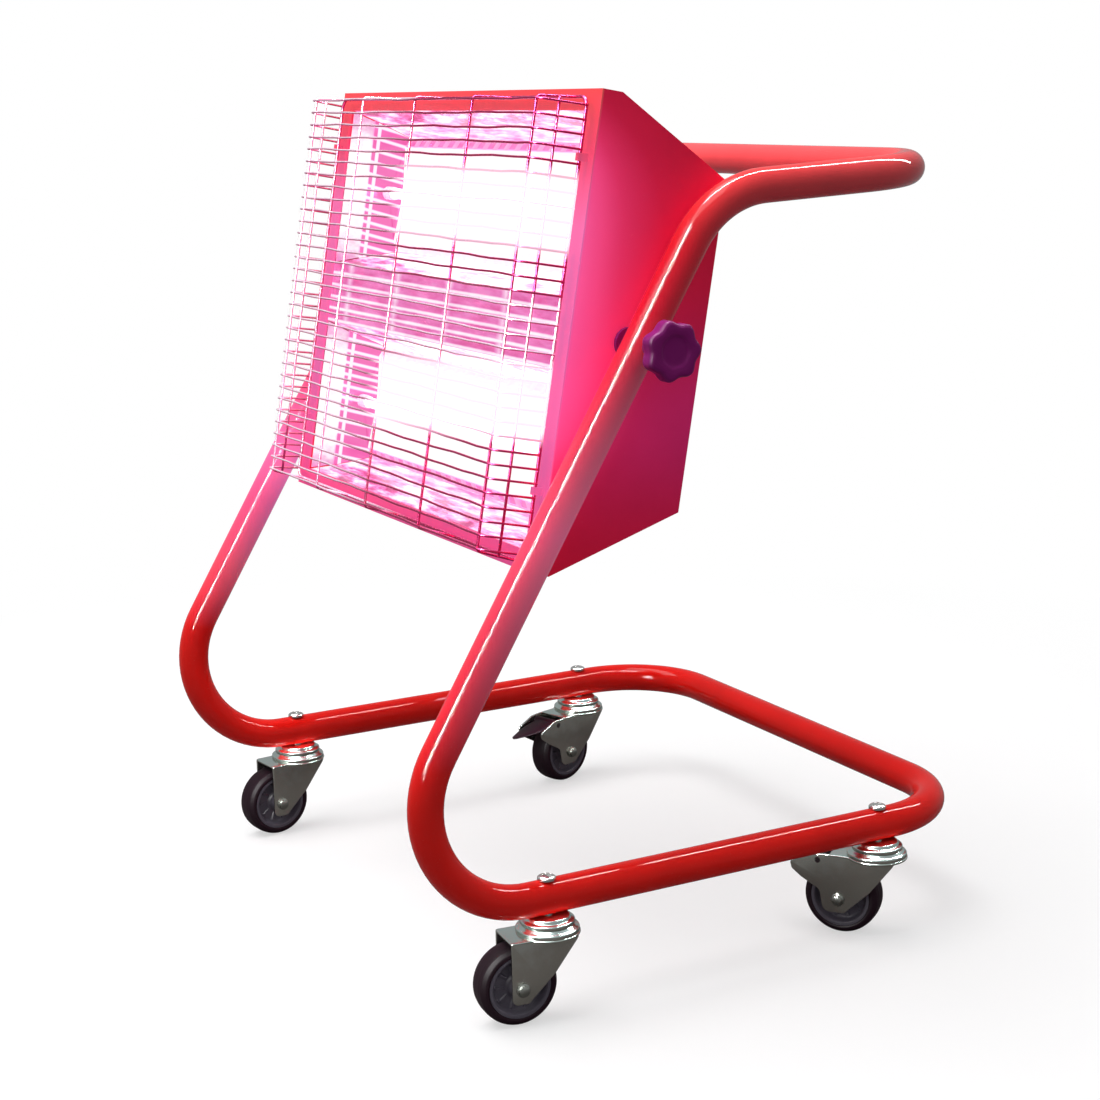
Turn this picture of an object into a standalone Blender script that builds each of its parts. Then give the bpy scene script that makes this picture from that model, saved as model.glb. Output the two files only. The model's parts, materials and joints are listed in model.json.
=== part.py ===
"""Infrared trolley heater: a tilting twin-lamp head between the legs of a castored tube frame.

Metres, +Z up. The floor is at z = 0, the heater faces -Y and its handle is at +Y.
"""
import math

import bpy
import bmesh
from mathutils import Matrix, Vector

# Clearances and sheet stock
GAP = 0.0003
SHEET = 0.0015
BRIGHT_SHEET = 0.0008
OVERLAP = 0.0001
CUTTER_REACH = 0.010

# Tube frame
TUBE_DIA = 0.032
TUBE_WALL = 0.002
TUBE_SIDES_RESOLUTION = 7
TUBE_BORE_RESOLUTION = 2
BEND_RADIUS = 0.0976
BEND_STEPS_90 = 6
FRAME_LENGTH = 0.629
LEG_ANGLE = math.radians(58.8)
LEG_TOP_RISE = 0.6177
HANDLE_RISE = 0.6295
HANDLE_REACH = 0.2592

# Castors
WHEEL_DIA = 0.075
WHEEL_DROP = 0.0762
TYRE_WIDTH = 0.0286
TYRE_DEPTH = 0.0078
TYRE_SHOULDER = 0.0045
HUB_RIM = 0.0030
HUB_WEB = 0.0060
HUB_BOSS_DIA = 0.019
AXLE_DIA = 0.008
AXLE_HEAD_DIA = 0.013
AXLE_HEAD_HEIGHT = 0.005
CASTOR_TRAIL = 0.0326
FRONT_CASTOR_SETBACK = 0.1168
REAR_CASTOR_INSET = 0.1134
CASTOR_BOLT_DIA = 0.010
BOLT_HEAD_DIA = 0.017
BOLT_HEAD_HEIGHT = 0.005
RACE_DIA = 0.050
RACE_HEIGHT = 0.0075
SLEEVE_DIA = 0.018
SLEEVE_REACH = 0.0022
CROWN_DIA = 0.060
CROWN_RISE = 0.0070
FORK_SHEET = 0.0025
FORK_WIDTH = 0.0406
FORK_NOSE = 0.0100
FORK_FOOT = 0.0140
FORK_TOE = 0.0160
FORK_CHAMFER = 0.0040
FORK_HEEL = 0.0220
FORK_WAIST_BEHIND = 0.0312
FORK_WAIST_ABOVE = 0.0102
HOOD_AHEAD = 0.0500
HOOD_ABOVE = 0.0337
HOOD_CROWN = 0.0180
HOOD_LIP = 0.0076
PEDAL_PIVOT_DIA = 0.006
PEDAL_PIVOT_AHEAD = 0.0214
PEDAL_PIVOT_ABOVE = 0.0382
PEDAL_LENGTH = 0.056
PEDAL_WIDTH = 0.032
PEDAL_THICKNESS = 0.004
PEDAL_BARREL_DIA = 0.010
PEDAL_SLOPE = math.radians(8.0)

# Castors: side (+1 is the +X side), rear, and how far each has swivelled
CASTORS = {
    "front_right": (1, False, math.radians(-6.0)),
    "front_left": (-1, False, math.radians(7.0)),
    "rear_right": (1, True, math.radians(-54.0)),
    "rear_left": (-1, True, math.radians(16.0)),
}

# Heater head, measured up its face and back from its face
HEAD_WIDTH = 0.5558
HEAD_HEIGHT = 0.4236
HEAD_DEPTH = 0.137
HEAD_LEAN = math.radians(10.0)
LIP_TOP = 0.020
LIP_BOTTOM = 0.012
SLOPE_TOP = 0.0590
SLOPE_BOTTOM = 0.0655
PIVOT_UP_LEG = 0.5697
PIVOT_BACK = 0.0594
PIVOT_UP = 0.2116
SIDE_BORDER = 0.0240
FACE_BORDER = 0.0185
DIVIDER_HEIGHT = 0.0626
REAR_BORDER = 0.012
COVER_MARGIN = 0.003

# Reflectors
WING_HEIGHT = 0.0077
MOUTH_BACK = 0.018
WING_WIDTH = 0.0230
TROUGH_BACK = 0.0620
WALL_LEAN = 0.020
STRIP_HEIGHT = 0.0105
STRIP_RISE = 0.0055
PLATE_BOW = 0.004
LAMP_STAND_OFF = 0.0163
WING_LIP = 0.004
DIVIDER_TAB = 0.010
WING_MITRE = 0.0012

# Lamps
QUARTZ_DIA = 0.011
QUARTZ_BORE = 0.0086
LAMP_INSET = 0.0165
FILAMENT_DIA = 0.003
CERAMIC_DIA = 0.014
CERAMIC_LENGTH = 0.050
BRACKET_OFFSET = 0.0250
BRACKET_DEPTH = 0.058
BRACKET_FOOT = 0.014
BRACKET_MARGIN = 0.040

# Tilt clamps
STUD_DIA = 0.008
KNOB_DIA = 0.054
KNOB_LOBES = 7
KNOB_LOBE_DEPTH = 0.0035
KNOB_HEAD = 0.017
KNOB_REACH = 0.044
KNOB_HUB_DIA = 0.016
KNOB_FLARE_DIA = 0.036
KNOB_FLARE_STEP = 0.002
SPACER_DIA = 0.029
SPACER_THICKNESS = 0.0040
NUT_PLATE_SIZE = 0.050
NUT_PLATE = 0.004
STUD_OVERRUN = 0.006

# Wire guard
GUARD_WIRE = 0.0022
GUARD_UPRIGHT = 0.0026
GUARD_RIM = 0.0032
GUARD_WELD = 0.0003
GUARD_STAND = 0.047
GUARD_RIM_STAND = 0.0062
GUARD_SIDE_MARGIN = 0.0249
GUARD_RIM_SIDE_MARGIN = 0.0133
GUARD_CORNER = 0.010
GUARD_OVERRUN = 0.003
GUARD_ROWS = 32
GUARD_BOTTOM_ROW = 0.0165
GUARD_TOP_MARGIN = 0.0151
GUARD_RIM_MARGIN = 0.0080
GUARD_BAYS = 4
GUARD_UPRIGHT_INSET = 0.0080
GUARD_SIDE_UPRIGHT_STAND = 0.029
HOOK_WIDTH = 0.007
HOOK_THICKNESS = 0.0015
HOOK_ROWS = (4, 27)

# Supply
GLAND_DIA = 0.022
GLAND_LENGTH = 0.024
GLAND_WALL = 0.003
GLAND_NUT = 0.004
GLAND_UP = 0.110
GLAND_SIDE = -0.160
TERMINAL_SIZE = (0.060, 0.020, 0.022)
TERMINAL_ABOVE_GLAND = 0.030

# Worked out from the sizes above
TUBE_R = TUBE_DIA / 2
SIDE_X = HEAD_WIDTH / 2 + SPACER_THICKNESS + 2 * GAP + TUBE_R
RAIL_Z = WHEEL_DIA / 2 + WHEEL_DROP
REAR_Y = FRAME_LENGTH / 2 - TUBE_R
FRONT_BEND_Y = -FRAME_LENGTH / 2 + TUBE_R + BEND_RADIUS
VERTEX_Y = FRONT_BEND_Y - BEND_RADIUS / math.tan(LEG_ANGLE / 2)
LEG_TOP_Y = VERTEX_Y + LEG_TOP_RISE / math.tan(LEG_ANGLE)
PIVOT_Y = VERTEX_Y + PIVOT_UP_LEG * math.cos(LEG_ANGLE)
PIVOT_Z = RAIL_Z + PIVOT_UP_LEG * math.sin(LEG_ANGLE)
FRONT_CASTOR_Y = FRONT_BEND_Y - BEND_RADIUS + FRONT_CASTOR_SETBACK
REAR_CASTOR_Y = REAR_Y - REAR_CASTOR_INSET
BOLT_HOLE = CASTOR_BOLT_DIA + 2 * GAP
STUD_HOLE = STUD_DIA + 2 * GAP
HEAD_SIDE = HEAD_WIDTH / 2
WINDOW_WIDTH = HEAD_WIDTH - 2 * SIDE_BORDER
WINDOW_HEIGHT = (HEAD_HEIGHT - DIVIDER_HEIGHT) / 2 - FACE_BORDER
MOUTH_WIDTH = WINDOW_WIDTH - 2 * WING_WIDTH
MOUTH_HEIGHT = WINDOW_HEIGHT - 2 * WING_HEIGHT
LAMP_LENGTH = MOUTH_WIDTH - 2 * LAMP_INSET
GUARD_HALF_WIDTH = HEAD_SIDE - GUARD_SIDE_MARGIN
GUARD_RIM_HALF_WIDTH = HEAD_SIDE - GUARD_RIM_SIDE_MARGIN
GUARD_TOP_ROW = HEAD_HEIGHT - GUARD_TOP_MARGIN
GUARD_OUTER_UPRIGHT = GUARD_HALF_WIDTH - GUARD_UPRIGHT_INSET
WINDOW_CENTRES = {
    "upper": FACE_BORDER + 1.5 * WINDOW_HEIGHT + DIVIDER_HEIGHT,
    "lower": FACE_BORDER + 0.5 * WINDOW_HEIGHT,
}
STRIP_OUTER = WINDOW_HEIGHT / 2 - WALL_LEAN
STRIP_INNER = STRIP_OUTER - STRIP_HEIGHT
PLATE_EDGE_BACK = TROUGH_BACK - STRIP_RISE
PLATE_BACK = PLATE_EDGE_BACK + PLATE_BOW
FOCUS_BACK = PLATE_BACK - LAMP_STAND_OFF
MOUTH_SIDE = MOUTH_WIDTH / 2
DIVIDER_BACK = SHEET + GAP
WING_BACK = DIVIDER_BACK + BRIGHT_SHEET + GAP


def clear_scene():
    """Remove whatever objects the file holds."""
    for item in list(bpy.data.objects):
        bpy.data.objects.remove(item, do_unlink=True)


clear_scene()
PARTS = bpy.data.collections.new("infrared_heater")
CUTTERS = bpy.data.collections.new("cutters")
bpy.context.scene.collection.children.link(PARTS)
bpy.context.scene.collection.children.link(CUTTERS)


def material(name, colour, roughness, metallic):
    """One plain Principled material."""
    made = bpy.data.materials.new(name)
    made.use_nodes = True
    made.diffuse_color = (*colour, 1.0)
    shader = made.node_tree.nodes["Principled BSDF"]
    shader.inputs["Base Color"].default_value = (*colour, 1.0)
    shader.inputs["Roughness"].default_value = roughness
    shader.inputs["Metallic"].default_value = metallic
    return made


RED_PAINT = material("red_gloss_paint", (0.56, 0.012, 0.020), 0.18, 0.0)
ZINC = material("zinc_plated_steel", (0.62, 0.66, 0.64), 0.28, 1.0)
BRIGHT_STEEL = material("bright_bolt_steel", (0.75, 0.75, 0.74), 0.2, 1.0)
CHROME_WIRE = material("chromed_wire", (0.80, 0.78, 0.78), 0.15, 1.0)
BLACK_RUBBER = material("grey_black_rubber", (0.030, 0.026, 0.032), 0.6, 0.0)
HUB_PLASTIC = material("dark_grey_nylon", (0.075, 0.073, 0.085), 0.45, 0.0)
KNOB_PLASTIC = material("black_knob_plastic", (0.022, 0.012, 0.026), 0.38, 0.0)
PEDAL_PLASTIC = material("black_pedal_plastic", (0.028, 0.022, 0.030), 0.45, 0.0)
POLISHED_ALUMINIUM = material("polished_aluminium", (0.86, 0.86, 0.88), 0.12, 1.0)
QUARTZ = material("quartz_glass", (0.95, 0.93, 0.95), 0.05, 0.0)
TUNGSTEN = material("tungsten_filament", (1.0, 0.82, 0.86), 0.4, 0.0)
CERAMIC = material("white_ceramic", (0.82, 0.80, 0.76), 0.5, 0.0)
TERMINAL_PLASTIC = material("pale_terminal_plastic", (0.72, 0.70, 0.64), 0.5, 0.0)


def add(name, data, finish=None, parent=None, cutter=False):
    """Put an object in the scene, as a part or as a cutter."""
    made = bpy.data.objects.new(name, data)
    (CUTTERS if cutter else PARTS).objects.link(made)
    if cutter:
        made.hide_render = True
        made.display_type = "WIRE"
    if finish:
        data.materials.clear()
        data.materials.append(finish)
    if parent:
        made.parent = parent
    return made


def empty(name, location, rotation=(0.0, 0.0, 0.0), parent=None):
    """An empty that stands on a joint's axis."""
    made = bpy.data.objects.new(name, None)
    PARTS.objects.link(made)
    made.empty_display_size = 0.03
    made.location = location
    made.rotation_euler = rotation
    made.parent = parent
    return made


def mesh_of(item):
    """The evaluated mesh of an object, welded, and the object removed."""
    bpy.context.view_layer.update()
    graph = bpy.context.evaluated_depsgraph_get()
    mesh = bpy.data.meshes.new_from_object(item.evaluated_get(graph))
    mesh.transform(item.matrix_world)
    work = bmesh.new()
    work.from_mesh(mesh)
    bmesh.ops.remove_doubles(work, verts=work.verts, dist=1e-6)
    bmesh.ops.recalc_face_normals(work, faces=work.faces)
    work.to_mesh(mesh)
    work.free()
    bpy.data.objects.remove(item, do_unlink=True)
    return mesh


def round_off(mesh, angle=40.0):
    """Shade a round piece smooth with its edges kept sharp."""
    mesh.shade_smooth()
    mesh.set_sharp_from_angle(angle=math.radians(angle))
    return mesh


def turned(profile, steps, closed=False):
    """A turned mesh about Z from (radius, height) points, top to bottom."""
    mesh = bpy.data.meshes.new("profile")
    edges = [(i, i + 1) for i in range(len(profile) - 1)]
    if closed:
        edges.append((len(profile) - 1, 0))
    mesh.from_pydata([(r, 0.0, z) for r, z in profile], edges, [])
    item = add("profile", mesh)
    screw = item.modifiers.new("turn", "SCREW")
    screw.steps = steps
    screw.render_steps = steps
    screw.use_merge_vertices = True
    screw.merge_threshold = 0.00001
    return round_off(mesh_of(item))


def disc(radius, top, bottom, steps, bore=0.0):
    """A plain turned disc, with a bore if one is given."""
    if bore:
        ring = [(radius, top), (radius, bottom), (bore, bottom), (bore, top)]
        return turned(ring, steps, closed=True)
    return turned([(0.0, top), (radius, top), (radius, bottom), (0.0, bottom)], steps)


def sheet(outline, thickness, matrix=None, holes=()):
    """A flat piece: a 2D outline with round holes, extruded about its own plane."""
    curve = bpy.data.curves.new("outline", "CURVE")
    curve.dimensions = "2D"
    curve.fill_mode = "BOTH"
    curve.extrude = thickness / 2
    for points in [outline] + [circle(*hole) for hole in holes]:
        spline = curve.splines.new("POLY")
        spline.points.add(len(points) - 1)
        for point, (x, y) in zip(spline.points, points):
            point.co = (x, y, 0.0, 1.0)
        spline.use_cyclic_u = True
    mesh = mesh_of(add("outline", curve))
    if matrix:
        mesh.transform(matrix)
    return mesh


def circle(x, y, radius, steps=12):
    """Points of a hole whose flats lie on a circle."""
    turn = 2 * math.pi / steps
    reach = radius / math.cos(turn / 2)
    return [(x + reach * math.cos(turn * i), y + reach * math.sin(turn * i)) for i in range(steps)]


def rod(path, diameter, resolution, cyclic=False):
    """A round bar along a path, with filled caps."""
    curve = bpy.data.curves.new("rod", "CURVE")
    curve.dimensions = "3D"
    curve.bevel_depth = diameter / 2
    curve.bevel_resolution = resolution
    curve.use_fill_caps = not cyclic
    spline = curve.splines.new("POLY")
    spline.points.add(len(path) - 1)
    for point, place in zip(spline.points, path):
        point.co = (*place, 1.0)
    spline.use_cyclic_u = cyclic
    return mesh_of(add("rod", curve))


def block(low, high):
    """A box between two corners."""
    work = bmesh.new()
    bmesh.ops.create_cube(work, size=1.0)
    low = Vector(low)
    high = Vector(high)
    size = high - low
    bmesh.ops.scale(work, vec=size, verts=work.verts)
    bmesh.ops.translate(work, vec=(low + high) / 2, verts=work.verts)
    mesh = bpy.data.meshes.new("block")
    work.to_mesh(mesh)
    work.free()
    return mesh


def joined(meshes):
    """Several meshes that don't touch, as one mesh."""
    work = bmesh.new()
    for mesh in meshes:
        work.from_mesh(mesh)
    result = bpy.data.meshes.new("joined")
    work.to_mesh(result)
    work.free()
    return result


def combine(mesh, others, operation):
    """One mesh joined with, or cut by, other meshes."""
    target = add("target", mesh)
    for index, other in enumerate(others):
        tool = add("tool_%d" % index, other, cutter=True)
        step = target.modifiers.new("step_%d" % index, "BOOLEAN")
        step.operation = operation
        step.solver = "EXACT"
        step.object = tool
    tools = [step.object for step in target.modifiers]
    result = mesh_of(target)
    for tool in tools:
        bpy.data.objects.remove(tool, do_unlink=True)
    return result


def along_x(mesh):
    """Turn a piece made about Z so that it stands along +X."""
    mesh.transform(Matrix.Rotation(math.pi / 2, 4, "Y"))
    return mesh


def shifted(mesh, x=0.0, y=0.0, z=0.0):
    """The same mesh moved."""
    mesh.transform(Matrix.Translation((x, y, z)))
    return mesh


def rounded_path(corners, radius, steps_90, cyclic):
    """Points along straight runs joined by arcs of one radius at the corners."""
    count = len(corners)
    points = []
    for index, corner in enumerate(corners):
        if not cyclic and index in (0, count - 1):
            points.append(Vector(corner))
            continue
        here = Vector(corner)
        back = (Vector(corners[index - 1]) - here).normalized()
        ahead = (Vector(corners[(index + 1) % count]) - here).normalized()
        half = back.angle(ahead) / 2
        centre = here + (back + ahead).normalized() * radius / math.sin(half)
        start = here + back * radius / math.tan(half) - centre
        axis = start.cross(here + ahead * radius / math.tan(half) - centre).normalized()
        sweep = math.pi - 2 * half
        steps = max(2, round(steps_90 * sweep / (math.pi / 2)))
        for step in range(steps + 1):
            points.append(centre + Matrix.Rotation(sweep * step / steps, 3, axis) @ start)
    return points


def frame_corners():
    """The frame loop's corner points: base, legs, handle and back down the other side."""
    right = [
        (SIDE_X, REAR_Y, RAIL_Z),
        (SIDE_X, VERTEX_Y, RAIL_Z),
        (SIDE_X, LEG_TOP_Y, RAIL_Z + LEG_TOP_RISE),
        (SIDE_X, LEG_TOP_Y + HANDLE_REACH, RAIL_Z + HANDLE_RISE),
    ]
    left = [(-x, y, z) for x, y, z in reversed(right)]
    return right + left


def frame_tube():
    """The closed loop of bent tube, bored through for the castor bolts and the tilt studs."""
    path = rounded_path(frame_corners(), BEND_RADIUS, BEND_STEPS_90, True)
    outside = rod(path, TUBE_DIA, TUBE_SIDES_RESOLUTION, cyclic=True)
    inside = rod(path, TUBE_DIA - 2 * TUBE_WALL, TUBE_BORE_RESOLUTION, cyclic=True)
    drills = []
    for side, rear, _turn in CASTORS.values():
        y = REAR_CASTOR_Y if rear else FRONT_CASTOR_Y
        drill = disc(BOLT_HOLE / 2, TUBE_DIA, -TUBE_DIA, 12)
        drills.append(shifted(drill, side * SIDE_X, y, RAIL_Z))
    for side in (1, -1):
        drill = along_x(disc(STUD_HOLE / 2, TUBE_DIA, -TUBE_DIA, 12))
        drills.append(shifted(drill, side * SIDE_X, PIVOT_Y, PIVOT_Z))
    mesh = combine(outside, [inside] + drills, "DIFFERENCE")
    add("frame_tube", round_off(mesh), RED_PAINT)


# Castor heights, down from the middle of the rail
RACE_TOP = -TUBE_R - GAP
RACE_BOTTOM = RACE_TOP - RACE_HEIGHT
CROWN_TOP = RACE_BOTTOM - GAP
CROWN_PLATE_TOP = CROWN_TOP - CROWN_RISE
CROWN_PLATE_BOTTOM = CROWN_PLATE_TOP - FORK_SHEET
SLEEVE_BOTTOM = CROWN_PLATE_BOTTOM - SLEEVE_REACH
FORK_SIDE = FORK_WIDTH / 2
FORK_INSIDE = FORK_SIDE - FORK_SHEET
NOSE = CASTOR_TRAIL + FORK_NOSE
SIDE_VIEW = Matrix(((0, 0, -1, 0), (-1, 0, 0, 0), (0, 1, 0, 0), (0, 0, 0, 1)))


def castor_bolt(name, finish, parent):
    """The domed bolt through the rail, with its nut under the race sleeve."""
    head = BOLT_HEAD_DIA / 2
    seat = TUBE_R + GAP
    shank = CASTOR_BOLT_DIA / 2
    nut = SLEEVE_BOTTOM - GAP
    profile = [
        (0.0, seat + BOLT_HEAD_HEIGHT),
        (0.55 * head, seat + 0.86 * BOLT_HEAD_HEIGHT),
        (head, seat + 0.25 * BOLT_HEAD_HEIGHT),
        (head, seat),
        (shank, seat),
        (shank, nut),
        (0.9 * head, nut),
        (0.9 * head, nut - BOLT_HEAD_HEIGHT),
        (0.0, nut - BOLT_HEAD_HEIGHT),
    ]
    add(name, turned(profile, 12), finish, parent=parent)


def castor_race(name, parent):
    """The fixed upper race, with the sleeve that the fork turns on."""
    bore = BOLT_HOLE / 2
    sleeve = SLEEVE_DIA / 2
    outer = RACE_DIA / 2
    profile = [
        (0.8 * outer, RACE_TOP),
        (0.8 * outer, RACE_TOP - 0.3 * RACE_HEIGHT),
        (outer, RACE_TOP - 0.5 * RACE_HEIGHT),
        (outer, RACE_BOTTOM),
        (sleeve, RACE_BOTTOM),
        (sleeve, SLEEVE_BOTTOM),
        (bore, SLEEVE_BOTTOM),
        (bore, RACE_TOP),
    ]
    add(name, turned(profile, 14, closed=True), ZINC, parent=parent)


def crown_outline():
    """The crown from above: round behind the swivel axis, squared at the nose."""
    radius = CROWN_DIA / 2
    edge = math.asin((FORK_SIDE - FORK_SHEET) / radius)
    steps = 12
    sweep = 2 * math.pi - 2 * edge
    points = []
    for step in range(steps + 1):
        angle = -math.pi / 2 + edge + sweep * step / steps
        points.append((radius * math.cos(angle), radius * math.sin(angle)))
    return points + [(-FORK_SIDE, -NOSE), (FORK_SIDE, -NOSE)]


def fork_outline(braked):
    """One side plate from the side: (ahead of the swivel axis, height)."""
    top = CROWN_PLATE_TOP - FORK_SHEET / 2
    foot = -WHEEL_DROP - FORK_FOOT
    rear = [
        (NOSE - FORK_TOE, foot),
        (NOSE - FORK_TOE - FORK_CHAMFER, foot + FORK_CHAMFER),
        (CASTOR_TRAIL - FORK_WAIST_BEHIND, -WHEEL_DROP + FORK_WAIST_ABOVE),
        (-FORK_HEEL, top - FORK_CHAMFER),
        (-FORK_HEEL, top),
    ]
    if not braked:
        return [(NOSE, top), (NOSE, foot)] + rear
    hood = CASTOR_TRAIL + HOOD_AHEAD
    level = -WHEEL_DROP + HOOD_ABOVE
    front = [
        (NOSE + FORK_CHAMFER, top),
        (NOSE + HOOD_CROWN, top - 0.25 * FORK_CHAMFER),
        (hood, level),
        (hood - 0.5 * FORK_CHAMFER, level - HOOD_LIP),
        (hood - HOOD_LIP - FORK_CHAMFER, level - 2 * HOOD_LIP),
        (NOSE + 2.25 * FORK_CHAMFER, -WHEEL_DROP + HOOD_LIP),
        (NOSE + 1.5 * FORK_CHAMFER, -WHEEL_DROP - 1.4 * HOOD_LIP),
        (NOSE + 0.25 * FORK_CHAMFER, foot),
    ]
    return front + rear


def fork(name, braked, parent):
    """The pressed fork: crown plate, raised ball race and two side plates."""
    bore = SLEEVE_DIA / 2 + GAP
    middle = (CROWN_PLATE_TOP + CROWN_PLATE_BOTTOM) / 2
    plate = sheet(crown_outline(), FORK_SHEET, holes=[(0.0, 0.0, bore)])
    shifted(plate, z=middle)
    outer = CROWN_DIA / 2
    race = [
        (0.88 * outer, CROWN_TOP),
        (0.96 * outer, CROWN_TOP - 0.4 * CROWN_RISE),
        (0.92 * outer, middle),
        (bore + FORK_SHEET, middle),
        (bore + FORK_SHEET, CROWN_TOP),
    ]
    raised = turned(race, 14, closed=True)
    holes = [(CASTOR_TRAIL, -WHEEL_DROP, AXLE_DIA / 2 + GAP)]
    if braked:
        pivot = (CASTOR_TRAIL + PEDAL_PIVOT_AHEAD, -WHEEL_DROP + PEDAL_PIVOT_ABOVE)
        holes.append((*pivot, PEDAL_PIVOT_DIA / 2 + GAP))
    cheeks = []
    for side in (1, -1):
        cheek = sheet(fork_outline(braked), FORK_SHEET, SIDE_VIEW, holes)
        cheeks.append(shifted(cheek, x=side * (FORK_SIDE - FORK_SHEET / 2 - OVERLAP)))
    mesh = combine(plate, [raised, joined(cheeks)], "UNION")
    add(name, round_off(mesh), ZINC, parent=parent)


def tyre(name, parent):
    """The rubber tread ring, crowned and with round shoulders."""
    outer = WHEEL_DIA / 2
    inner = outer - TYRE_DEPTH
    half = TYRE_WIDTH / 2
    profile = [
        (inner, half - 0.13 * TYRE_SHOULDER),
        (inner + 0.3 * TYRE_SHOULDER, half),
        (outer - TYRE_SHOULDER, half - 0.1 * TYRE_SHOULDER),
        (outer - 0.3 * TYRE_SHOULDER, half - 0.6 * TYRE_SHOULDER),
        (outer, 0.35 * half),
    ]
    mirrored = [(r, -z) for r, z in reversed(profile)]
    mesh = along_x(turned(profile + mirrored, 26, closed=True))
    add(name, mesh, BLACK_RUBBER, parent=parent)


def hub(name, parent):
    """The nylon wheel centre: rim, web and bored boss."""
    rim = WHEEL_DIA / 2 - TYRE_DEPTH - GAP
    rim_half = TYRE_WIDTH / 2 - GAP
    boss_half = FORK_INSIDE - GAP
    boss = HUB_BOSS_DIA / 2
    bore = AXLE_DIA / 2 + GAP
    profile = [
        (bore, boss_half),
        (boss, boss_half),
        (boss, HUB_WEB / 2),
        (rim - HUB_RIM, HUB_WEB / 2),
        (rim - HUB_RIM, rim_half),
        (rim, rim_half),
    ]
    mirrored = [(r, -z) for r, z in reversed(profile)]
    mesh = along_x(turned(profile + mirrored, 16, closed=True))
    add(name, mesh, HUB_PLASTIC, parent=parent)


def axle(name, parent):
    """The axle bolt through the fork, with its hexagon head and nut outside."""
    reach = FORK_SIDE + GAP
    end = reach + AXLE_HEAD_HEIGHT
    shank = disc(AXLE_DIA / 2, end - OVERLAP, -end + OVERLAP, 12)
    heads = [disc(AXLE_HEAD_DIA / 2, end, reach, 6), disc(AXLE_HEAD_DIA / 2, -reach, -end, 6)]
    mesh = along_x(combine(shank, [joined(heads)], "UNION"))
    shifted(mesh, y=-CASTOR_TRAIL, z=-WHEEL_DROP)
    add(name, mesh, BRIGHT_STEEL, parent=parent)


def pedal(name, parent):
    """The brake pedal: a cross pin, a cam barrel and a tongue that narrows to its tip."""
    pin = along_x(disc(PEDAL_PIVOT_DIA / 2, FORK_SIDE, -FORK_SIDE, 12))
    half = FORK_INSIDE - 2 * GAP
    barrel = along_x(disc(PEDAL_BARREL_DIA / 2, half, -half, 12))
    wide = PEDAL_WIDTH / 2
    outline = [
        (-wide, 0.0),
        (-wide, -0.55 * PEDAL_LENGTH),
        (-0.45 * wide, -PEDAL_LENGTH),
        (0.45 * wide, -PEDAL_LENGTH),
        (wide, -0.55 * PEDAL_LENGTH),
        (wide, 0.0),
    ]
    tongue = sheet(outline, PEDAL_THICKNESS, Matrix.Rotation(PEDAL_SLOPE, 4, "X"))
    mesh = combine(barrel, [pin, tongue], "UNION")
    add(name, mesh, PEDAL_PLASTIC, parent=parent)


def castor(name, side, rear, turn):
    """One swivel castor at its place under the rail."""
    y = REAR_CASTOR_Y if rear else FRONT_CASTOR_Y
    place = (side * SIDE_X, y, RAIL_Z)
    seat = empty("seat_" + name, place)
    swivel = empty("swivel_" + name, place, (0.0, 0.0, turn))
    wheel = empty("wheel_" + name, (0.0, -CASTOR_TRAIL, -WHEEL_DROP), parent=swivel)
    castor_bolt("castor_%s_bolt" % name, BRIGHT_STEEL, seat)
    castor_race("castor_%s_race" % name, seat)
    fork("castor_%s_fork" % name, rear, swivel)
    axle("castor_%s_axle" % name, swivel)
    tyre("castor_%s_tyre" % name, wheel)
    hub("castor_%s_hub" % name, wheel)
    if rear:
        ahead = -CASTOR_TRAIL - PEDAL_PIVOT_AHEAD
        pivot = empty("brake_" + name, (0.0, ahead, -WHEEL_DROP + PEDAL_PIVOT_ABOVE), parent=swivel)
        pedal("castor_%s_pedal" % name, pivot)


def on_head(back, up, x=0.0):
    """A place on the head, measured back from its face and up its face."""
    return Vector((x, back - PIVOT_BACK, up - PIVOT_UP))


def head_outline(inset):
    """The head's side shape, set in by a sheet's thickness."""
    corners = [
        (0.0, 0.0),
        (LIP_BOTTOM, 0.0),
        (HEAD_DEPTH, SLOPE_BOTTOM),
        (HEAD_DEPTH, HEAD_HEIGHT - SLOPE_TOP),
        (LIP_TOP, HEAD_HEIGHT),
        (0.0, HEAD_HEIGHT),
    ]
    result = []
    for index, corner in enumerate(corners):
        here = Vector(corner)
        before = (here - Vector(corners[index - 1])).normalized()
        after = (Vector(corners[(index + 1) % len(corners)]) - here).normalized()
        inward = (Vector((-before.y, before.x)) + Vector((-after.y, after.x))).normalized()
        lean = Vector((-before.y, before.x)).dot(inward)
        result.append(tuple(here + inward * inset / lean))
    return result


def head_prism(inset):
    """The head's side shape drawn across its width."""
    across = Matrix(((0, 0, 1, 0), (1, 0, 0, -PIVOT_BACK), (0, 1, 0, -PIVOT_UP), (0, 0, 0, 1)))
    return sheet(head_outline(inset), HEAD_WIDTH - 2 * inset, across)


def guard_rows():
    """The heights of the guard's level wires up the face."""
    pitch = (GUARD_TOP_ROW - GUARD_BOTTOM_ROW) / (GUARD_ROWS - 1)
    return [GUARD_BOTTOM_ROW + pitch * row for row in range(GUARD_ROWS)]


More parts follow.
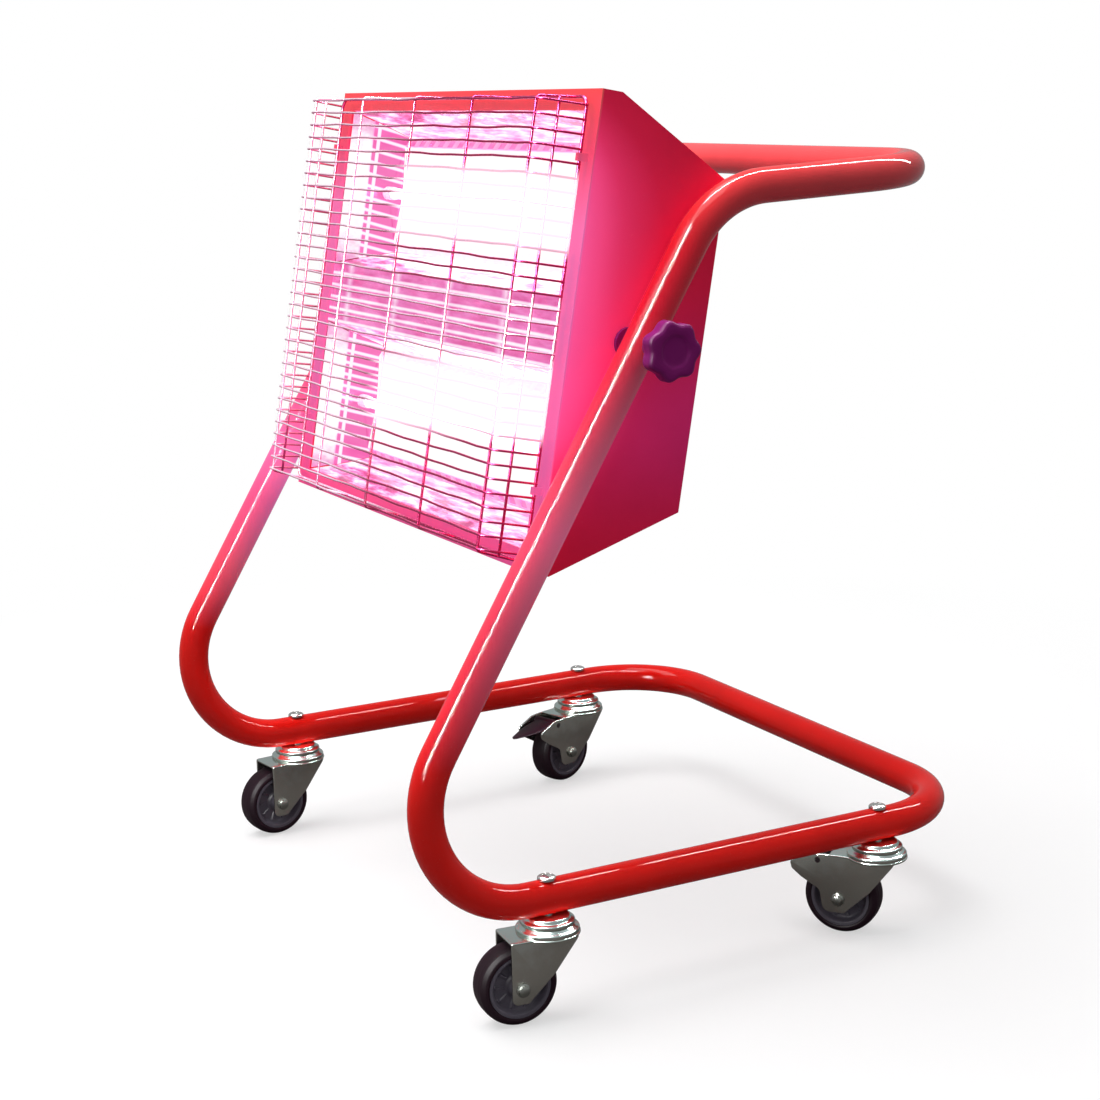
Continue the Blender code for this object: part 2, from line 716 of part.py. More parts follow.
def guard_hooks():
    """Small hooks on the face that hold the guard's rim between two level wires."""
    rows = guard_rows()
    top = GUARD_RIM_STAND + GUARD_RIM / 2 + GAP + HOOK_THICKNESS
    inner = GUARD_RIM_HALF_WIDTH - GUARD_RIM / 2
    outer = GUARD_RIM_HALF_WIDTH + GUARD_RIM / 2 + GAP
    hooks = []
    for row in HOOK_ROWS:
        up = (rows[row] + rows[row + 1]) / 2
        low = up - HOOK_WIDTH / 2
        high = up + HOOK_WIDTH / 2
        for side in (1, -1):
            ends = sorted((side * outer, side * (outer + HOOK_THICKNESS)))
            hooks.append(block(on_head(-top, low, ends[0]), on_head(SHEET / 2, high, ends[1])))
            ends = sorted((side * inner, side * (outer + HOOK_THICKNESS / 2)))
            low_corner = on_head(-top + OVERLAP, low + OVERLAP, ends[0])
            high_corner = on_head(-top + HOOK_THICKNESS, high - OVERLAP, ends[1])
            hooks.append(block(low_corner, high_corner))
    return hooks


def head_casing(parent):
    """The folded sheet box: open in front round the reflectors and behind for the rear cover."""
    half = WINDOW_WIDTH / 2
    window = block(
        on_head(-CUTTER_REACH, FACE_BORDER, -half),
        on_head(SHEET * 2, HEAD_HEIGHT - FACE_BORDER, half),
    )
    inner = HEAD_SIDE - SHEET - REAR_BORDER
    rear = block(
        on_head(HEAD_DEPTH - 2 * SHEET, SLOPE_BOTTOM + REAR_BORDER, -inner),
        on_head(HEAD_DEPTH + CUTTER_REACH, HEAD_HEIGHT - SLOPE_TOP - REAR_BORDER, inner),
    )
    drills = []
    for side in (1, -1):
        drill = along_x(disc(STUD_HOLE / 2, CUTTER_REACH, -CUTTER_REACH, 12))
        drills.append(shifted(drill, x=side * HEAD_SIDE))
    mesh = combine(head_prism(0.0), [head_prism(SHEET), window, rear] + drills, "DIFFERENCE")
    hooks = guard_hooks()
    mesh = combine(mesh, [joined(hooks[0::2]), joined(hooks[1::2])], "UNION")
    add("head_casing", mesh, RED_PAINT, parent=parent)


def rear_cover(parent):
    """The flat panel that closes the back, with the cable gland's hole."""
    half = HEAD_SIDE - COVER_MARGIN
    low = SLOPE_BOTTOM + COVER_MARGIN
    high = HEAD_HEIGHT - SLOPE_TOP - COVER_MARGIN
    outline = [(-half, low), (half, low), (half, high), (-half, high)]
    hole = (GLAND_SIDE, GLAND_UP, GLAND_DIA / 2 - GLAND_WALL + GAP)
    back = HEAD_DEPTH + GAP + SHEET / 2
    facing = Matrix(((1, 0, 0, 0), (0, 0, -1, back - PIVOT_BACK), (0, 1, 0, -PIVOT_UP), (0, 0, 0, 1)))
    add("rear_cover", sheet(outline, SHEET, facing, [hole]), RED_PAINT, parent=parent)


def cable_gland(parent):
    """The supply gland through the rear cover: lock nut, body and clamping dome."""
    outer = GLAND_DIA / 2
    neck = outer - GLAND_WALL
    bore = neck - GLAND_WALL
    inside = -GAP
    outside = SHEET + GAP
    profile = [
        (bore, GLAND_LENGTH),
        (0.75 * outer, GLAND_LENGTH),
        (outer, 0.7 * GLAND_LENGTH),
        (outer, outside),
        (neck, outside),
        (neck, inside),
        (outer, inside),
        (outer, inside - GLAND_NUT),
        (bore, inside - GLAND_NUT),
    ]
    mesh = turned(profile, 12, closed=True)
    mesh.transform(Matrix.Rotation(-math.pi / 2, 4, "X"))
    shifted(mesh, *on_head(HEAD_DEPTH + GAP, GLAND_UP, GLAND_SIDE))
    add("cable_gland", mesh, KNOB_PLASTIC, parent=parent)


def terminal_block(parent):
    """The terminal block on the inside of the rear cover, over the gland."""
    wide, deep, tall = TERMINAL_SIZE
    back = HEAD_DEPTH
    foot = GLAND_UP + TERMINAL_ABOVE_GLAND
    low = on_head(back - deep, foot, GLAND_SIDE - wide / 2)
    high = on_head(back, foot + tall, GLAND_SIDE + wide / 2)
    add("terminal_block", block(low, high), TERMINAL_PLASTIC, parent=parent)


def divider(parent):
    """The flat polished bar between the two windows."""
    low = FACE_BORDER + WINDOW_HEIGHT
    half = WINDOW_WIDTH / 2 + DIVIDER_TAB
    corner = on_head(DIVIDER_BACK, low, -half)
    opposite = on_head(DIVIDER_BACK + BRIGHT_SHEET, low + DIVIDER_HEIGHT, half)
    add("reflector_divider", block(corner, opposite), POLISHED_ALUMINIUM, parent=parent)


def trough_profile():
    """The reflector's section: (back, up from its centre), slanted wall, vent strip, back plate."""
    upper = [
        (WING_BACK, WINDOW_HEIGHT / 2 + WING_LIP),
        (WING_BACK, WINDOW_HEIGHT / 2),
        (MOUTH_BACK, MOUTH_HEIGHT / 2),
        (TROUGH_BACK, STRIP_OUTER),
        (PLATE_EDGE_BACK, STRIP_INNER),
    ]
    return upper + [(PLATE_BACK, 0.0)] + [(back, -up) for back, up in reversed(upper)]


def side_reach(back):
    """How far a reflector reaches to each side, at a depth behind the face."""
    share = min(1.0, max(0.0, (back - WING_BACK) / (MOUTH_BACK - WING_BACK)))
    return WINDOW_WIDTH / 2 + (MOUTH_SIDE - WINDOW_WIDTH / 2) * share - GAP


def shell(rows, thickness):
    """A bent sheet: rows of points as an open surface, given its thickness."""
    width = len(rows[0])
    points = [point for row in rows for point in row]
    faces = []
    for row in range(len(rows) - 1):
        for column in range(width - 1):
            first = row * width + column
            faces.append((first, first + 1, first + width + 1, first + width))
    mesh = bpy.data.meshes.new("shell")
    mesh.from_pydata(points, [], faces)
    item = add("shell", mesh)
    solid = item.modifiers.new("thickness", "SOLIDIFY")
    solid.thickness = thickness
    solid.offset = 1.0
    solid.use_even_offset = True
    return mesh_of(item)


def reflector(level, parent):
    """The long trough of bright sheet behind one window."""
    centre = WINDOW_CENTRES[level]
    rows = []
    for back, up in trough_profile():
        reach = side_reach(back)
        rows.append([on_head(back, centre + up, -reach), on_head(back, centre + up, reach)])
    add("reflector_" + level, shell(rows, BRIGHT_SHEET), POLISHED_ALUMINIUM, parent=parent)


def end_plate(level, side, parent):
    """The reflector's end: a flat wall bored for the lamp, and a slanted wing in front of it."""
    centre = WINDOW_CENTRES[level]
    section = [(back, centre + up) for back, up in trough_profile()[2:-2]]
    facing = Matrix(((0, 0, 1, 0), (1, 0, 0, -PIVOT_BACK), (0, 1, 0, -PIVOT_UP), (0, 0, 0, 1)))
    hole = (FOCUS_BACK, centre, CERAMIC_DIA / 2 + GAP)
    wall = sheet(section, BRIGHT_SHEET, facing, [hole])
    shifted(wall, x=side * (MOUTH_SIDE + BRIGHT_SHEET / 2))
    edges = (
        (WING_BACK + GAP, WINDOW_HEIGHT / 2 - WING_MITRE, WINDOW_WIDTH / 2 + 2 * GAP),
        (MOUTH_BACK + BRIGHT_SHEET, MOUTH_HEIGHT / 2 - WING_MITRE, MOUTH_SIDE + GAP / 2),
    )
    rows = []
    for back, half, reach in edges:
        x = side * reach
        rows.append([on_head(back, centre - half, x), on_head(back, centre + half, x)])
    if side > 0:
        rows.reverse()
    wing = shell(rows, BRIGHT_SHEET)
    name = "reflector_%s_end_%s" % (level, "right" if side > 0 else "left")
    add(name, combine(wall, [wing], "UNION"), POLISHED_ALUMINIUM, parent=parent)


def lamp(level, parent):
    """One halogen infrared lamp: quartz sleeve, filament and two ceramic ends."""
    place = on_head(FOCUS_BACK, WINDOW_CENTRES[level])
    half = LAMP_LENGTH / 2
    sleeve = along_x(disc(QUARTZ_DIA / 2, half, -half, 14, QUARTZ_BORE / 2))
    add("lamp_%s_quartz" % level, shifted(sleeve, *place), QUARTZ, parent=parent)
    wire = along_x(disc(FILAMENT_DIA / 2, half, -half, 8))
    add("lamp_%s_filament" % level, shifted(wire, *place), TUNGSTEN, parent=parent)
    for side, word in ((1, "right"), (-1, "left")):
        near = half + GAP
        far = near + CERAMIC_LENGTH
        radius = CERAMIC_DIA / 2
        mesh = along_x(disc(radius, far, near, 12))
        if side < 0:
            mesh.transform(Matrix.Rotation(math.pi, 4, "Z"))
        add("lamp_%s_ceramic_%s" % (level, word), shifted(mesh, *place), CERAMIC, parent=parent)


def lamp_bracket(side, parent):
    """The upright bracket behind the face that carries both lamps at one side."""
    low = WINDOW_CENTRES["lower"] - BRACKET_MARGIN
    high = WINDOW_CENTRES["upper"] + BRACKET_MARGIN
    front = WING_BACK
    back = front + BRACKET_DEPTH
    outline = [(front, low), (back, low), (back, high), (front, high)]
    facing = Matrix(((0, 0, 1, 0), (1, 0, 0, -PIVOT_BACK), (0, 1, 0, -PIVOT_UP), (0, 0, 0, 1)))
    holes = [(FOCUS_BACK, up, CERAMIC_DIA / 2 + GAP) for up in WINDOW_CENTRES.values()]
    web = sheet(outline, SHEET, facing, holes)
    near = MOUTH_SIDE + BRACKET_OFFSET
    shifted(web, x=side * near)
    ends = sorted((side * near, side * (near + BRACKET_FOOT)))
    foot = block(
        on_head(front + OVERLAP, low + OVERLAP, ends[0]),
        on_head(front + SHEET, high - OVERLAP, ends[1]),
    )
    name = "lamp_bracket_" + ("right" if side > 0 else "left")
    add(name, combine(web, [foot], "UNION"), ZINC, parent=parent)


def knob_outline():
    """The star knob from its end: seven soft lobes."""
    middle = KNOB_DIA / 2 - KNOB_LOBE_DEPTH / 2
    steps = KNOB_LOBES * 6
    points = []
    for step in range(steps):
        angle = 2 * math.pi * step / steps
        radius = middle + KNOB_LOBE_DEPTH / 2 * math.cos(KNOB_LOBES * angle)
        points.append((radius * math.cos(angle), radius * math.sin(angle)))
    return points


def knob(side, parent):
    """The star knob with its cone hub and the stud that passes through leg, spacer and head."""
    foot = SIDE_X + TUBE_R + GAP
    top = SIDE_X + TUBE_R + KNOB_REACH
    under = top - KNOB_HEAD
    star = shifted(sheet(knob_outline(), KNOB_HEAD), z=(top + under) / 2)
    cone = turned([
        (0.0, under + KNOB_FLARE_STEP),
        (KNOB_FLARE_DIA / 2, under + KNOB_FLARE_STEP),
        (KNOB_FLARE_DIA / 2, under - KNOB_FLARE_STEP),
        (KNOB_HUB_DIA / 2, foot),
        (0.0, foot),
    ], 16)
    inner = HEAD_SIDE - SHEET - NUT_PLATE - STUD_OVERRUN
    stud = disc(STUD_DIA / 2, foot + STUD_OVERRUN, inner, 12)
    mesh = along_x(combine(star, [cone, stud], "UNION"))
    if side < 0:
        mesh.transform(Matrix.Rotation(math.pi, 4, "Z"))
    name = "clamp_knob_" + ("right" if side > 0 else "left")
    add(name, round_off(mesh), KNOB_PLASTIC, parent=parent)


def spacer(side, parent):
    """The disc between the head's side and the leg."""
    bottom = HEAD_SIDE + GAP
    top = bottom + SPACER_THICKNESS
    mesh = along_x(disc(SPACER_DIA / 2, top, bottom, 18, STUD_HOLE / 2))
    if side < 0:
        mesh.transform(Matrix.Rotation(math.pi, 4, "Z"))
    name = "tilt_spacer_" + ("right" if side > 0 else "left")
    add(name, mesh, KNOB_PLASTIC, parent=parent)


def nut_plate(side, parent):
    """The threaded plate behind the head's side that the stud screws into."""
    half = NUT_PLATE_SIZE / 2
    outline = [(-half, -half), (half, -half), (half, half), (-half, half)]
    mesh = along_x(sheet(outline, NUT_PLATE, holes=[(0.0, 0.0, STUD_HOLE / 2)]))
    shifted(mesh, x=side * (HEAD_SIDE - SHEET - GAP - NUT_PLATE / 2))
    name = "tilt_nut_plate_" + ("right" if side > 0 else "left")
    add(name, mesh, ZINC, parent=parent)


def level_wire(up):
    """One level wire: across the front, round the corners and back to the rim."""
    stand = GUARD_STAND
    end = GUARD_RIM_HALF_WIDTH + (GUARD_RIM + GUARD_WIRE) / 2 - GUARD_WELD
    right = [(GUARD_HALF_WIDTH, stand), (end, GUARD_RIM_STAND)]
    corners = [(-x, s) for x, s in reversed(right)] + right
    path = rounded_path([on_head(-s, up, x) for x, s in corners], GUARD_CORNER, 3, False)
    return rod(path, GUARD_WIRE, 0)


def front_upright(x):
    """An upright in front that bends back to the rim above and below."""
    stand = GUARD_STAND - (GUARD_WIRE + GUARD_UPRIGHT) / 2 + GUARD_WELD
    over = (GUARD_WIRE + GUARD_UPRIGHT) / 2
    low = GUARD_RIM_MARGIN
    high = HEAD_HEIGHT - GUARD_RIM_MARGIN
    corners = [
        (GUARD_RIM_STAND, low),
        (stand, GUARD_BOTTOM_ROW - over),
        (stand, GUARD_TOP_ROW + over),
        (GUARD_RIM_STAND, high),
    ]
    path = rounded_path([on_head(-s, up, x) for s, up in corners], GUARD_WIRE, 2, False)
    return rod(path, GUARD_UPRIGHT, 0)


def side_upright(side):
    """An upright halfway along the guard's side."""
    end = GUARD_RIM_HALF_WIDTH + (GUARD_RIM + GUARD_WIRE) / 2 - GUARD_WELD
    share = (GUARD_SIDE_UPRIGHT_STAND - GUARD_RIM_STAND) / (GUARD_STAND - GUARD_RIM_STAND)
    x = end + (GUARD_HALF_WIDTH - end) * share - (GUARD_WIRE + GUARD_UPRIGHT) / 2 + GUARD_WELD
    low = on_head(-GUARD_SIDE_UPRIGHT_STAND, GUARD_BOTTOM_ROW - GUARD_OVERRUN, side * x)
    high = on_head(-GUARD_SIDE_UPRIGHT_STAND, GUARD_TOP_ROW + GUARD_OVERRUN, side * x)
    return rod([low, high], GUARD_UPRIGHT, 0)


def guard_rim():
    """The rim wire that follows the face."""
    half = GUARD_RIM_HALF_WIDTH
    low = GUARD_RIM_MARGIN
    high = HEAD_HEIGHT - GUARD_RIM_MARGIN
    corners = [
        on_head(-GUARD_RIM_STAND, low, -half),
        on_head(-GUARD_RIM_STAND, low, half),
        on_head(-GUARD_RIM_STAND, high, half),
        on_head(-GUARD_RIM_STAND, high, -half),
    ]
    return rod(rounded_path(corners, GUARD_CORNER, 3, True), GUARD_RIM, 1, cyclic=True)


def wire_guard(parent):
    """The welded wire basket over the face."""
    level = joined([level_wire(up) for up in guard_rows()])
    bay = 2 * GUARD_OUTER_UPRIGHT / GUARD_BAYS
    uprights = [front_upright(-GUARD_OUTER_UPRIGHT + bay * i) for i in range(GUARD_BAYS + 1)]
    uprights += [side_upright(1), side_upright(-1)]
    mesh = combine(level, [joined(uprights), guard_rim()], "UNION")
    add("wire_guard", mesh, CHROME_WIRE, parent=parent)


def heater_head():
    """The tilting head about the clamp axis."""
    lean = (-HEAD_LEAN, 0.0, 0.0)
    tilt = empty("head_tilt", (0.0, PIVOT_Y, PIVOT_Z), lean)
    head_casing(tilt)
    rear_cover(tilt)
    cable_gland(tilt)
    terminal_block(tilt)
    divider(tilt)
    for level in WINDOW_CENTRES:
        reflector(level, tilt)
        lamp(level, tilt)
        for side in (1, -1):
            end_plate(level, side, tilt)
    for side in (1, -1):
        lamp_bracket(side, tilt)
        spacer(side, tilt)
        nut_plate(side, tilt)
        knob(side, tilt)
    wire_guard(tilt)


frame_tube()
for castor_name, (castor_side, castor_rear, castor_turn) in CASTORS.items():
    castor(castor_name, castor_side, castor_rear, castor_turn)
heater_head()
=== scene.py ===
# %% [markdown]
# An infrared trolley heater. Two short-wave lamps burn behind a wire guard in a red sheet-steel
# head, and the head tilts between the legs of a red tube frame on four swivel castors.
# The solids give every piece its place and its joints. This file gives each piece its surface:
# first the places and helpers, then the finishes, then the pieces, and last the light.

# %% Load the solids
import json
import math

import bmesh
import bpy
import numpy as np
from mathutils import Matrix, Vector


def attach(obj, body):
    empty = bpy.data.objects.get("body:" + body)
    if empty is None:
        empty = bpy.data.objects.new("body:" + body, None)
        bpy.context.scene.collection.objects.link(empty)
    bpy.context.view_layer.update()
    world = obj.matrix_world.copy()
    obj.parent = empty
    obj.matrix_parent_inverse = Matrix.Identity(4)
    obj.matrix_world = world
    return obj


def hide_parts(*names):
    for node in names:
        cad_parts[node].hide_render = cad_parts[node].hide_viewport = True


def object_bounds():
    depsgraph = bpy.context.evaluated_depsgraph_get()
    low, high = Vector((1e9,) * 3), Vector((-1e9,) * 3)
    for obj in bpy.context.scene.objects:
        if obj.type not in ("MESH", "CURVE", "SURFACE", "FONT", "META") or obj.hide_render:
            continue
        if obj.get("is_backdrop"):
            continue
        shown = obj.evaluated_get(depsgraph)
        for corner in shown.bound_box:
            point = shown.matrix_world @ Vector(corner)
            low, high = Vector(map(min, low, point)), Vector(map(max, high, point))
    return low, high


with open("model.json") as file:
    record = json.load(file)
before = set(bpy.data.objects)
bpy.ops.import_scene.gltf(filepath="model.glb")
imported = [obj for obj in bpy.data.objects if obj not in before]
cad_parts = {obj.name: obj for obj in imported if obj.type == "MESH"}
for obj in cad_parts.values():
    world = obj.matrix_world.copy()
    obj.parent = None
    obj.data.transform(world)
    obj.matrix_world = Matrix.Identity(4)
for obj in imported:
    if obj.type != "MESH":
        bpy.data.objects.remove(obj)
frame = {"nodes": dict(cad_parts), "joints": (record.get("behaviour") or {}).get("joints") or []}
SOLID_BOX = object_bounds()
NODES = frame["nodes"]
JOINTS = {joint["name"]: joint for joint in frame["joints"]}
CASTORS = ("front_right", "front_left", "rear_right", "rear_left")
BRAKED = ("rear_right", "rear_left")

# %% [markdown]
# Lengths are in metres. The tube and the wheel are standard sizes, and everything else was
# measured against them. The names are the same as those of the solids, so that a piece here
# and the solid it dresses always agree.

# %% Sizes that the pieces share
GAP = 0.0003
SHEET = 0.0015
BRIGHT_SHEET = 0.0008
TUBE_R = 0.016
BEND_RADIUS = 0.0976
RAIL_Z = 0.1137
SIDE_X = 0.2985
REAR_Y = 0.2985
LEG_ANGLE = math.radians(58.8)
LEG_TOP_RISE = 0.6177
HANDLE_RISE = 0.6295
HANDLE_REACH = 0.2592
VERTEX_Y = -REAR_Y + BEND_RADIUS - BEND_RADIUS / math.tan(LEG_ANGLE / 2)
LEG_TOP_Y = VERTEX_Y + LEG_TOP_RISE / math.tan(LEG_ANGLE)
HEAD_WIDTH = 0.5558
HEAD_HEIGHT = 0.4236
HEAD_DEPTH = 0.137
HEAD_LEAN = math.radians(10.0)
HEAD_SIDE = HEAD_WIDTH / 2
PIVOT = np.array(JOINTS["head_tilt"]["pos_m"])
PIVOT_BACK = 0.0594
PIVOT_UP = 0.2116
print("head %.0f x %.0f mm, tilting about z = %.0f mm" % (
    HEAD_WIDTH * 1000, HEAD_HEIGHT * 1000, PIVOT[2] * 1000))


# %% [markdown]
# Two small rulers save a lot of trouble. The head leans back by ten degrees, so its pieces are
# described by how far across, how far behind the face and how far up the face they are. Each
# castor has swivelled to its own angle, so its pieces are described across, ahead and up from
# the swivel. Both rulers turn whole arrays of such places into places in the room.

# %% Rulers for the head and the castors
def on_head(across, back, up):
    """Room places from (across, behind the face, up the face), any array shapes."""
    across, back, up = np.broadcast_arrays(*(np.asarray(a, float) for a in (across, back, up)))
    y = back - PIVOT_BACK
    z = up - PIVOT_UP
    cosine, sine = math.cos(HEAD_LEAN), math.sin(HEAD_LEAN)
    return np.stack((across, PIVOT[1] + y * cosine + z * sine, PIVOT[2] - y * sine + z * cosine), -1)


def swivel_place(name):
    """Where a castor's swivel axis crosses the middle of its rail."""
    return np.array(JOINTS["castor_%s_swivel" % name]["pos_m"])


def on_castor(name, across, ahead, height):
    """Room places from (along the axle, ahead of the swivel, up from the rail's middle)."""
    across, ahead, height = np.broadcast_arrays(*(np.asarray(a, float) for a in (across, ahead, height)))
    axle = np.array(JOINTS["castor_%s_roll" % name]["axis"])
    forward = np.array((axle[1], -axle[0], 0.0))
    up = np.array((0.0, 0.0, 1.0))
    level = swivel_place(name) + across[..., None] * axle + ahead[..., None] * forward
    return level + height[..., None] * up


print("face centre stands at", np.round(on_head(0, 0, HEAD_HEIGHT / 2), 4))


# %% [markdown]
# The camera stands to the right of the heater and a little above its lamps, looking down by
# twelve degrees, with a slight roll. Its lens was worked out from the tube frame, whose straight
# legs and rails fix the perspective very well.

# %% Camera
CAMERA_PLACE = (1.8815, -1.0255, 0.8194)
CAMERA_YAW = math.radians(61.66)
CAMERA_PITCH = math.radians(12.22)
CAMERA_ROLL = math.radians(-1.10)
LENS = 69.5


def make_camera():
    """A camera looking along (-sin yaw cos pitch, cos yaw cos pitch, -sin pitch), then rolled."""
    forward = Vector((
        -math.sin(CAMERA_YAW) * math.cos(CAMERA_PITCH),
        math.cos(CAMERA_YAW) * math.cos(CAMERA_PITCH),
        -math.sin(CAMERA_PITCH),
    ))
    right = Vector((math.cos(CAMERA_YAW), math.sin(CAMERA_YAW), 0.0))
    up = right.cross(forward)
    rolled_right = right * math.cos(CAMERA_ROLL) + up * math.sin(CAMERA_ROLL)
    rolled_up = up * math.cos(CAMERA_ROLL) - right * math.sin(CAMERA_ROLL)
    data = bpy.data.cameras.new("camera")
    data.sensor_width = 36.0
    data.lens = LENS
    camera = bpy.data.objects.new("camera", data)
    bpy.context.scene.collection.objects.link(camera)
    turn = Matrix((rolled_right, rolled_up, -forward)).transposed()
    camera.matrix_world = Matrix.Translation(CAMERA_PLACE) @ turn.to_4x4()
    return camera


bpy.context.scene.camera = make_camera()
print("camera lens", LENS, "mm")


# %% [markdown]
# Every new surface is a grid of points, worked out by numpy in one go, and the mesh only joins
# neighbours. A grid may wrap round in either direction, as a tube does, or end in a pole, as a
# ball does. Several grids can make one object, such as the wires of a guard.

# %% From grids to meshes
def grid_faces(rows, columns, wrap_rows, wrap_columns):
    """Corner numbers of a grid's quads, where point (i, j) is number i * columns + j."""
    i = np.arange(rows if wrap_rows else rows - 1)[:, None]
    j = np.arange(columns if wrap_columns else columns - 1)[None, :]
    next_i = (i + 1) % rows
    next_j = (j + 1) % columns
    corners = (i * columns + j, i * columns + next_j, next_i * columns + next_j, next_i * columns + j)
    return np.stack([np.broadcast_to(c, (len(i), j.size)) for c in corners], -1).reshape(-1, 4)


def grid_patch(grid, wrap_rows, wrap_columns, poles):
    """Points and faces of one grid, with a fan to the mean point of its first and last row."""
    rows, columns = grid.shape[:2]
    faces = grid_faces(rows, columns, wrap_rows, wrap_columns).tolist()
    points = grid.reshape(-1, 3)
    if poles:
        points = np.vstack((points, grid[0].mean(0), grid[-1].mean(0)))
        j = np.arange(columns)
        last = (rows - 1) * columns
        first_pole = rows * columns
        faces += np.stack((np.roll(j, -1), j, np.full(columns, first_pole)), -1).tolist()
        faces += np.stack((last + j, last + np.roll(j, -1), np.full(columns, first_pole + 1)), -1).tolist()
    return points, faces


def new_object(name, data):
    """An object of the scene with this mesh or light."""
    made = bpy.data.objects.new(name, data)
    bpy.context.scene.collection.objects.link(made)
    return made


def mesh_object(name, patches, smooth=35.0, outward=True):
    """One object from several patches, with its normals turned outward."""
    points, faces, start = [], [], 0
    for patch_points, patch_faces in patches:
        points.append(patch_points)
        faces += [[corner + start for corner in face] for face in patch_faces]
        start += len(patch_points)
    mesh = bpy.data.meshes.new(name)
    mesh.from_pydata(np.vstack(points).tolist(), [], faces)
    work = bmesh.new()
    work.from_mesh(mesh)
    bmesh.ops.remove_doubles(work, verts=work.verts, dist=1e-7)
    if outward:
        bmesh.ops.recalc_face_normals(work, faces=work.faces)
    work.to_mesh(mesh)
    work.free()
    mesh.shade_smooth()
    mesh.set_sharp_from_angle(angle=math.radians(smooth))
    return new_object(name, mesh)


def tube(grid):
    """A patch that wraps along its columns and is closed by poles at both ends."""
    return grid_patch(grid, False, True, True)


def ring(grid):
    """A patch that wraps both ways, as a tyre does."""
    return grid_patch(grid, True, True, False)


def dress(made, finish, body, replaced=()):
    """Give a piece its finish and body, and hide the solids it stands for."""
    made.data.materials.clear()
    made.data.materials.append(finish)
    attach(made, body)
    if replaced:
        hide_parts(*replaced)


print("grid helpers ready")


# %% [markdown]
# Bends, shoulders and folded edges are all the same drawing problem: straight runs with each
# corner swapped for an arc. One function does it for flat outlines and for paths in the room.
# A second one carries a round section along such a path, and a third turns a profile like a lathe.

# %% Rounded paths, round bars and turned shapes
def full_turn(count):
    """Angles of a full turn, as one row."""
    return (np.arange(count) * 2 * math.pi / count)[None, :]


def rounded(corners, radius, steps=6, closed=True):
    """Each corner becomes an arc: centre + cos(t) * start + sin(t) * side, t over the turn."""
    corners = np.asarray(corners, float)
    count = len(corners)
    radii = np.broadcast_to(radius, count)
    runs = []
    for index in range(count):
        here = corners[index]
        if radii[index] <= 0 or (not closed and index in (0, count - 1)):
            runs.append(here[None, :])
            continue
        back = corners[index - 1] - here
        ahead = corners[(index + 1) % count] - here
        room = min(np.linalg.norm(back), np.linalg.norm(ahead)) * 0.49
        back = back / np.linalg.norm(back)
        ahead = ahead / np.linalg.norm(ahead)
        half = math.acos(max(-1.0, min(1.0, float(back @ ahead)))) / 2
        reach = min(radii[index] / math.tan(half), room)
        middle = (back + ahead) / np.linalg.norm(back + ahead)
        centre = here + middle * reach / math.cos(half)
        start = here + back * reach - centre
        side = middle * (start @ middle)
        side = side - start * (side @ start) / (start @ start)
        side = side / np.linalg.norm(side) * np.linalg.norm(start)
        angle = np.linspace(0.0, math.pi - 2 * half, steps + 1)[:, None]
        runs.append(centre + np.cos(angle) * start + np.sin(angle) * side)
    return np.vstack(runs)


def round_bar(path, radius, sides, closed=False, reference=(1.0, 0.0, 1.0), round_end=0.0):
    """A circle carried along a path: point + r cos(t) n + r sin(t) b, n and b square to the path."""
    path = np.asarray(path, float)
    if closed:
        tangent = np.roll(path, -1, 0) - np.roll(path, 1, 0)
    else:
        tangent = np.gradient(path, axis=0)
    tangent /= np.linalg.norm(tangent, axis=1)[:, None]
    normal = np.cross(tangent, np.asarray(reference, float))
    normal /= np.linalg.norm(normal, axis=1)[:, None]
    other = np.cross(tangent, normal)
    radii = np.broadcast_to(radius, len(path)).astype(float)
    if round_end:
        bulge = np.array([0.35, 0.72, 0.94])
        head = path[0] - tangent[0] * (round_end * (1 - bulge))[:, None]
        tail = path[-1] + tangent[-1] * (round_end * (1 - bulge[::-1]))[:, None]
        path = np.vstack((head, path, tail))
        radii = np.concatenate((radii[0] * bulge, radii, radii[-1] * bulge[::-1]))
        normal = np.vstack((normal[:1].repeat(3, 0), normal, normal[-1:].repeat(3, 0)))
        other = np.vstack((other[:1].repeat(3, 0), other, other[-1:].repeat(3, 0)))
    angle = full_turn(sides)[..., None]
    round_part = np.cos(angle) * normal[:, None] + np.sin(angle) * other[:, None]
    return path[:, None] + radii[:, None, None] * round_part


def turned(profile, steps):
    """A lathe: (radius cos(t), radius sin(t), height) for each profile point and angle."""
    angle = full_turn(steps)
    radius, height = np.asarray(profile, float).T[..., None]
    return radius * np.cos(angle), radius * np.sin(angle), height + 0.0 * angle


def slab(outline, thickness, edge, arc=4):
    """An outline carried over a plate's edge: top, quarter round, side, quarter round, bottom."""
    outline = np.asarray(outline, float)
    run = np.roll(outline, -1, 0) - np.roll(outline, 1, 0)
    run /= np.linalg.norm(run, axis=1)[:, None]
    area = np.sum(outline[:, 0] * np.roll(outline[:, 1], -1) - np.roll(outline[:, 0], -1) * outline[:, 1])
    outward = np.stack((run[:, 1], -run[:, 0]), -1) * np.sign(area)
    turn = np.linspace(0.0, math.pi / 2, arc + 1)
    inset = edge * (1 - np.sin(turn))
    height = thickness / 2 - edge * (1 - np.cos(turn))
    inset = np.concatenate((inset, inset[::-1]))
    height = np.concatenate((height, -height[::-1]))
    flat = outline[None] - inset[:, None, None] * outward[None]
    return flat[..., 0], flat[..., 1], np.broadcast_to(height[:, None], flat.shape[:2])


print("a bend of the frame takes", len(rounded([(0, 0), (1, 0), (1, 1)], 0.1, 6, False)) - 2, "points")


